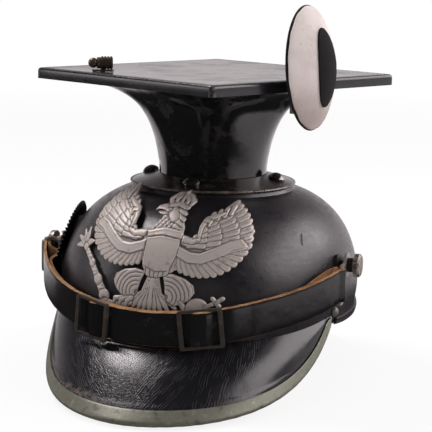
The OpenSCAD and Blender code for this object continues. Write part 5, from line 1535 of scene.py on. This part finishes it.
class CAP_OT_stage(CapOperator, bpy.types.Operator):
    """Sets up the floor, the lights, the sky and the camera"""
    bl_idname, bl_label = "cap.stage", "Studio"

    def build(self, looks):
        studio = looks.studio
        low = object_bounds()[0].z
        bpy.ops.object.select_all(action="DESELECT")
        bpy.ops.mesh.primitive_circle_add(vertices=64, radius=FLOOR_R, fill_type="NGON",
                                          location=(0, 0, low - FLOOR_GAP))
        floor = named("floor")
        self.floor_paint(floor, studio)
        floor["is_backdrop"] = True
        self.lamp("key light", (-0.525, 0.09, 0.86), 1.5, (0.42, 0.42), studio.key_power)
        self.lamp("fill light", (0.80, 0.32, 0.50), 1.5, (2.0, 0.80), studio.fill_power)
        self.lamp("side light", (-0.93, -0.28, 0.25), 1.6, (0.50, 0.60), studio.side_power)
        self.sky(studio)
        self.camera()
        bpy.context.scene.view_settings.view_transform = "Standard"

    @staticmethod
    def floor_paint(floor, studio):
        """White to the camera but for a faint shadow; dark at the front where the cap's gloss sees it."""
        b = Brush("floor")
        b.done(Base_Color=studio.floor, Roughness=0.9, Specular_IOR_Level=0.1)
        path = b.node("LightPath")
        x, y = b.parts(b.spot)[:2]
        far = x * x + y * y
        behind = (y + x.high(0) * 0.8 + x.low(0) * 0.15).step(-0.05, 0.07) * far.step(0.07, 0.20)
        away = far.step(0.4, 6)
        gloss = path.out("Is Glossy Ray").high(path.out("Is Transmission Ray"))
        glow = b.node("Emission", {}, {
            "Color": b.mix(path.out("Is Camera Ray"), STUDIO_TINT, (1, 1, 1)),
            "Strength": path.out("Is Camera Ray").high(behind * 0.95 + 0.03)}).out("Emission")
        seen = (path.out("Is Camera Ray") * (0.86 + away * 0.14)).high(gloss)
        both = b.node("MixShader", {}, {0: seen, 1: Wire(b, b.shader.outputs["BSDF"]), 2: glow}).out("Shader")
        b.feed(b.tree.get_output_node("ALL").inputs["Surface"], both)
        floor.data.materials.append(b.material)

    @staticmethod
    def lamp(name, toward, far, size, power):
        """An oblong soft light that looks at the cap's middle from a direction, so many metres away."""
        data = bpy.data.lights.new(name, "AREA")
        data.shape, data.energy = "RECTANGLE", power
        data.size, data.size_y = size
        data.color = STUDIO_TINT
        lamp = bpy.data.objects.new(name, data)
        bpy.context.scene.collection.objects.link(lamp)
        direction = Vector(toward).normalized()
        lamp.matrix_world = (Matrix.Translation(Vector((0, 0, 0.06)) + direction * far)
                             @ direction.to_track_quat("Z", "Y").to_matrix().to_4x4())

    @staticmethod
    def sky(studio):
        """White behind the cap, dimmer where the camera stands, as in a small studio."""
        world = bpy.context.scene.world or bpy.data.worlds.new("studio")
        bpy.context.scene.world = world
        world.use_nodes = True
        tree = world.node_tree
        tree.nodes.clear()

        def add(kind, settings=None, inputs=None):
            """One node, with its settings and its sockets' values or links."""
            node = tree.nodes.new("ShaderNode" + kind)
            for key, value in (settings or {}).items():
                setattr(node, key, value)
            for key, value in (inputs or {}).items():
                if isinstance(value, bpy.types.NodeSocket):
                    tree.links.new(value, node.inputs[key])
                else:
                    node.inputs[key].default_value = value
            return node

        way = add("SeparateXYZ", inputs={0: add("TexCoord").outputs["Generated"]})

        def between(axis, low, high, start, end):
            return add("MapRange", {"interpolation_type": "SMOOTHSTEP"},
                       {0: way.outputs[axis], 1: low, 2: high, 3: start, 4: end}).outputs["Result"]

        path = add("LightPath")
        low = add("Math", {"operation": "MULTIPLY"},
                  {0: between("X", -0.9, -0.4, 0.6, 1), 1: between("Z", 0.06, 0.42, 1, 0.22)}).outputs[0]
        behind = add("Math", {"operation": "MULTIPLY"},
                     {0: between("Y", -0.1, 0.6, 0.04, 1.0), 1: low}).outputs[0]
        soft = add("Background", inputs={"Color": (*STUDIO_TINT, 1), "Strength": studio.sky})
        gloss = add("Background", inputs={"Color": (*STUDIO_TINT, 1), "Strength": behind})
        white = add("Background", inputs={"Color": (1, 1, 1, 1), "Strength": 1.0})
        first = add("MixShader", inputs={
            0: path.outputs["Is Glossy Ray"], 1: soft.outputs[0], 2: gloss.outputs[0]})
        both = add("MixShader", inputs={
            0: path.outputs["Is Camera Ray"], 1: first.outputs[0], 2: white.outputs[0]})
        add("OutputWorld", inputs={"Surface": both.outputs[0]})

    @staticmethod
    def camera():
        """Stands the camera where the photograph was taken."""
        azimuth, elevation, roll = CAMERA["azimuth"], CAMERA["elevation"], CAMERA["roll"]
        back = Vector((sin(azimuth) * cos(elevation), -cos(azimuth) * cos(elevation), sin(elevation)))
        level = Vector((cos(azimuth), sin(azimuth), 0))
        upright = back.cross(level)
        right, up = level * cos(roll) + upright * sin(roll), upright * cos(roll) - level * sin(roll)
        spot = Vector((0, 0, CAMERA["up"])) + level * CAMERA["aside"] + back * CAMERA["back"]
        data = bpy.data.cameras.new("camera")
        data.sensor_width = CAMERA["sensor"]
        data.lens = CAMERA["lens"] / CAMERA["picture"] * CAMERA["sensor"]
        data.clip_start, data.clip_end = 0.05, 50
        camera = bpy.data.objects.new("camera", data)
        bpy.context.scene.collection.objects.link(camera)
        turn = Matrix((right, up, back)).transposed().to_4x4()
        camera.matrix_world = Matrix.Translation(spot * MM) @ turn
        bpy.context.scene.camera = camera


class CapLooks(bpy.types.PropertyGroup):
    """All settings of the cap's looks."""
    leather: PointerProperty(type=CapLeatherSettings, name="Leather", description="The leathers")
    metal: PointerProperty(type=CapMetalSettings, name="Metal and felt",
                           description="The metals and the felt")
    studio: PointerProperty(type=CapStudioSettings, name="Studio", description="The floor and the lights")


STEPS = (CAP_OT_skull, CAP_OT_peak, CAP_OT_guard, CAP_OT_collar, CAP_OT_neck, CAP_OT_board,
         CAP_OT_badge, CAP_OT_eagle, CAP_OT_cockade, CAP_OT_posts, CAP_OT_strap, CAP_OT_lining,
         CAP_OT_fittings, CAP_OT_stage)


class CAP_PT_panel(bpy.types.Panel):
    """Lists the cap's settings and operators."""
    bl_idname, bl_label = "CAP_PT_panel", "Lancer's cap"
    bl_space_type, bl_region_type, bl_category = "VIEW_3D", "UI", "Cap"

    def draw(self, context):
        looks = context.scene.cap_looks
        for group in (looks.leather, looks.metal, looks.studio):
            box = self.layout.box()
            for key in group.__annotations__:
                box.prop(group, key)
        for step in STEPS:
            self.layout.operator(step.bl_idname)


CLASSES = (CapLeatherSettings, CapMetalSettings, CapStudioSettings, CapLooks, *STEPS, CAP_PT_panel)


def register():
    for cls in CLASSES:
        bpy.utils.register_class(cls)
    bpy.types.Scene.cap_looks = PointerProperty(type=CapLooks, name="Cap", description="The cap's looks")


def unregister():
    del bpy.types.Scene.cap_looks
    for cls in reversed(CLASSES):
        bpy.utils.unregister_class(cls)


def main():
    """Builds the whole scene through the add-on's operators."""
    register()
    for step in STEPS:
        group, name = step.bl_idname.split(".")
        getattr(getattr(bpy.ops, group), name)()


if __name__ == "__main__":
    main()
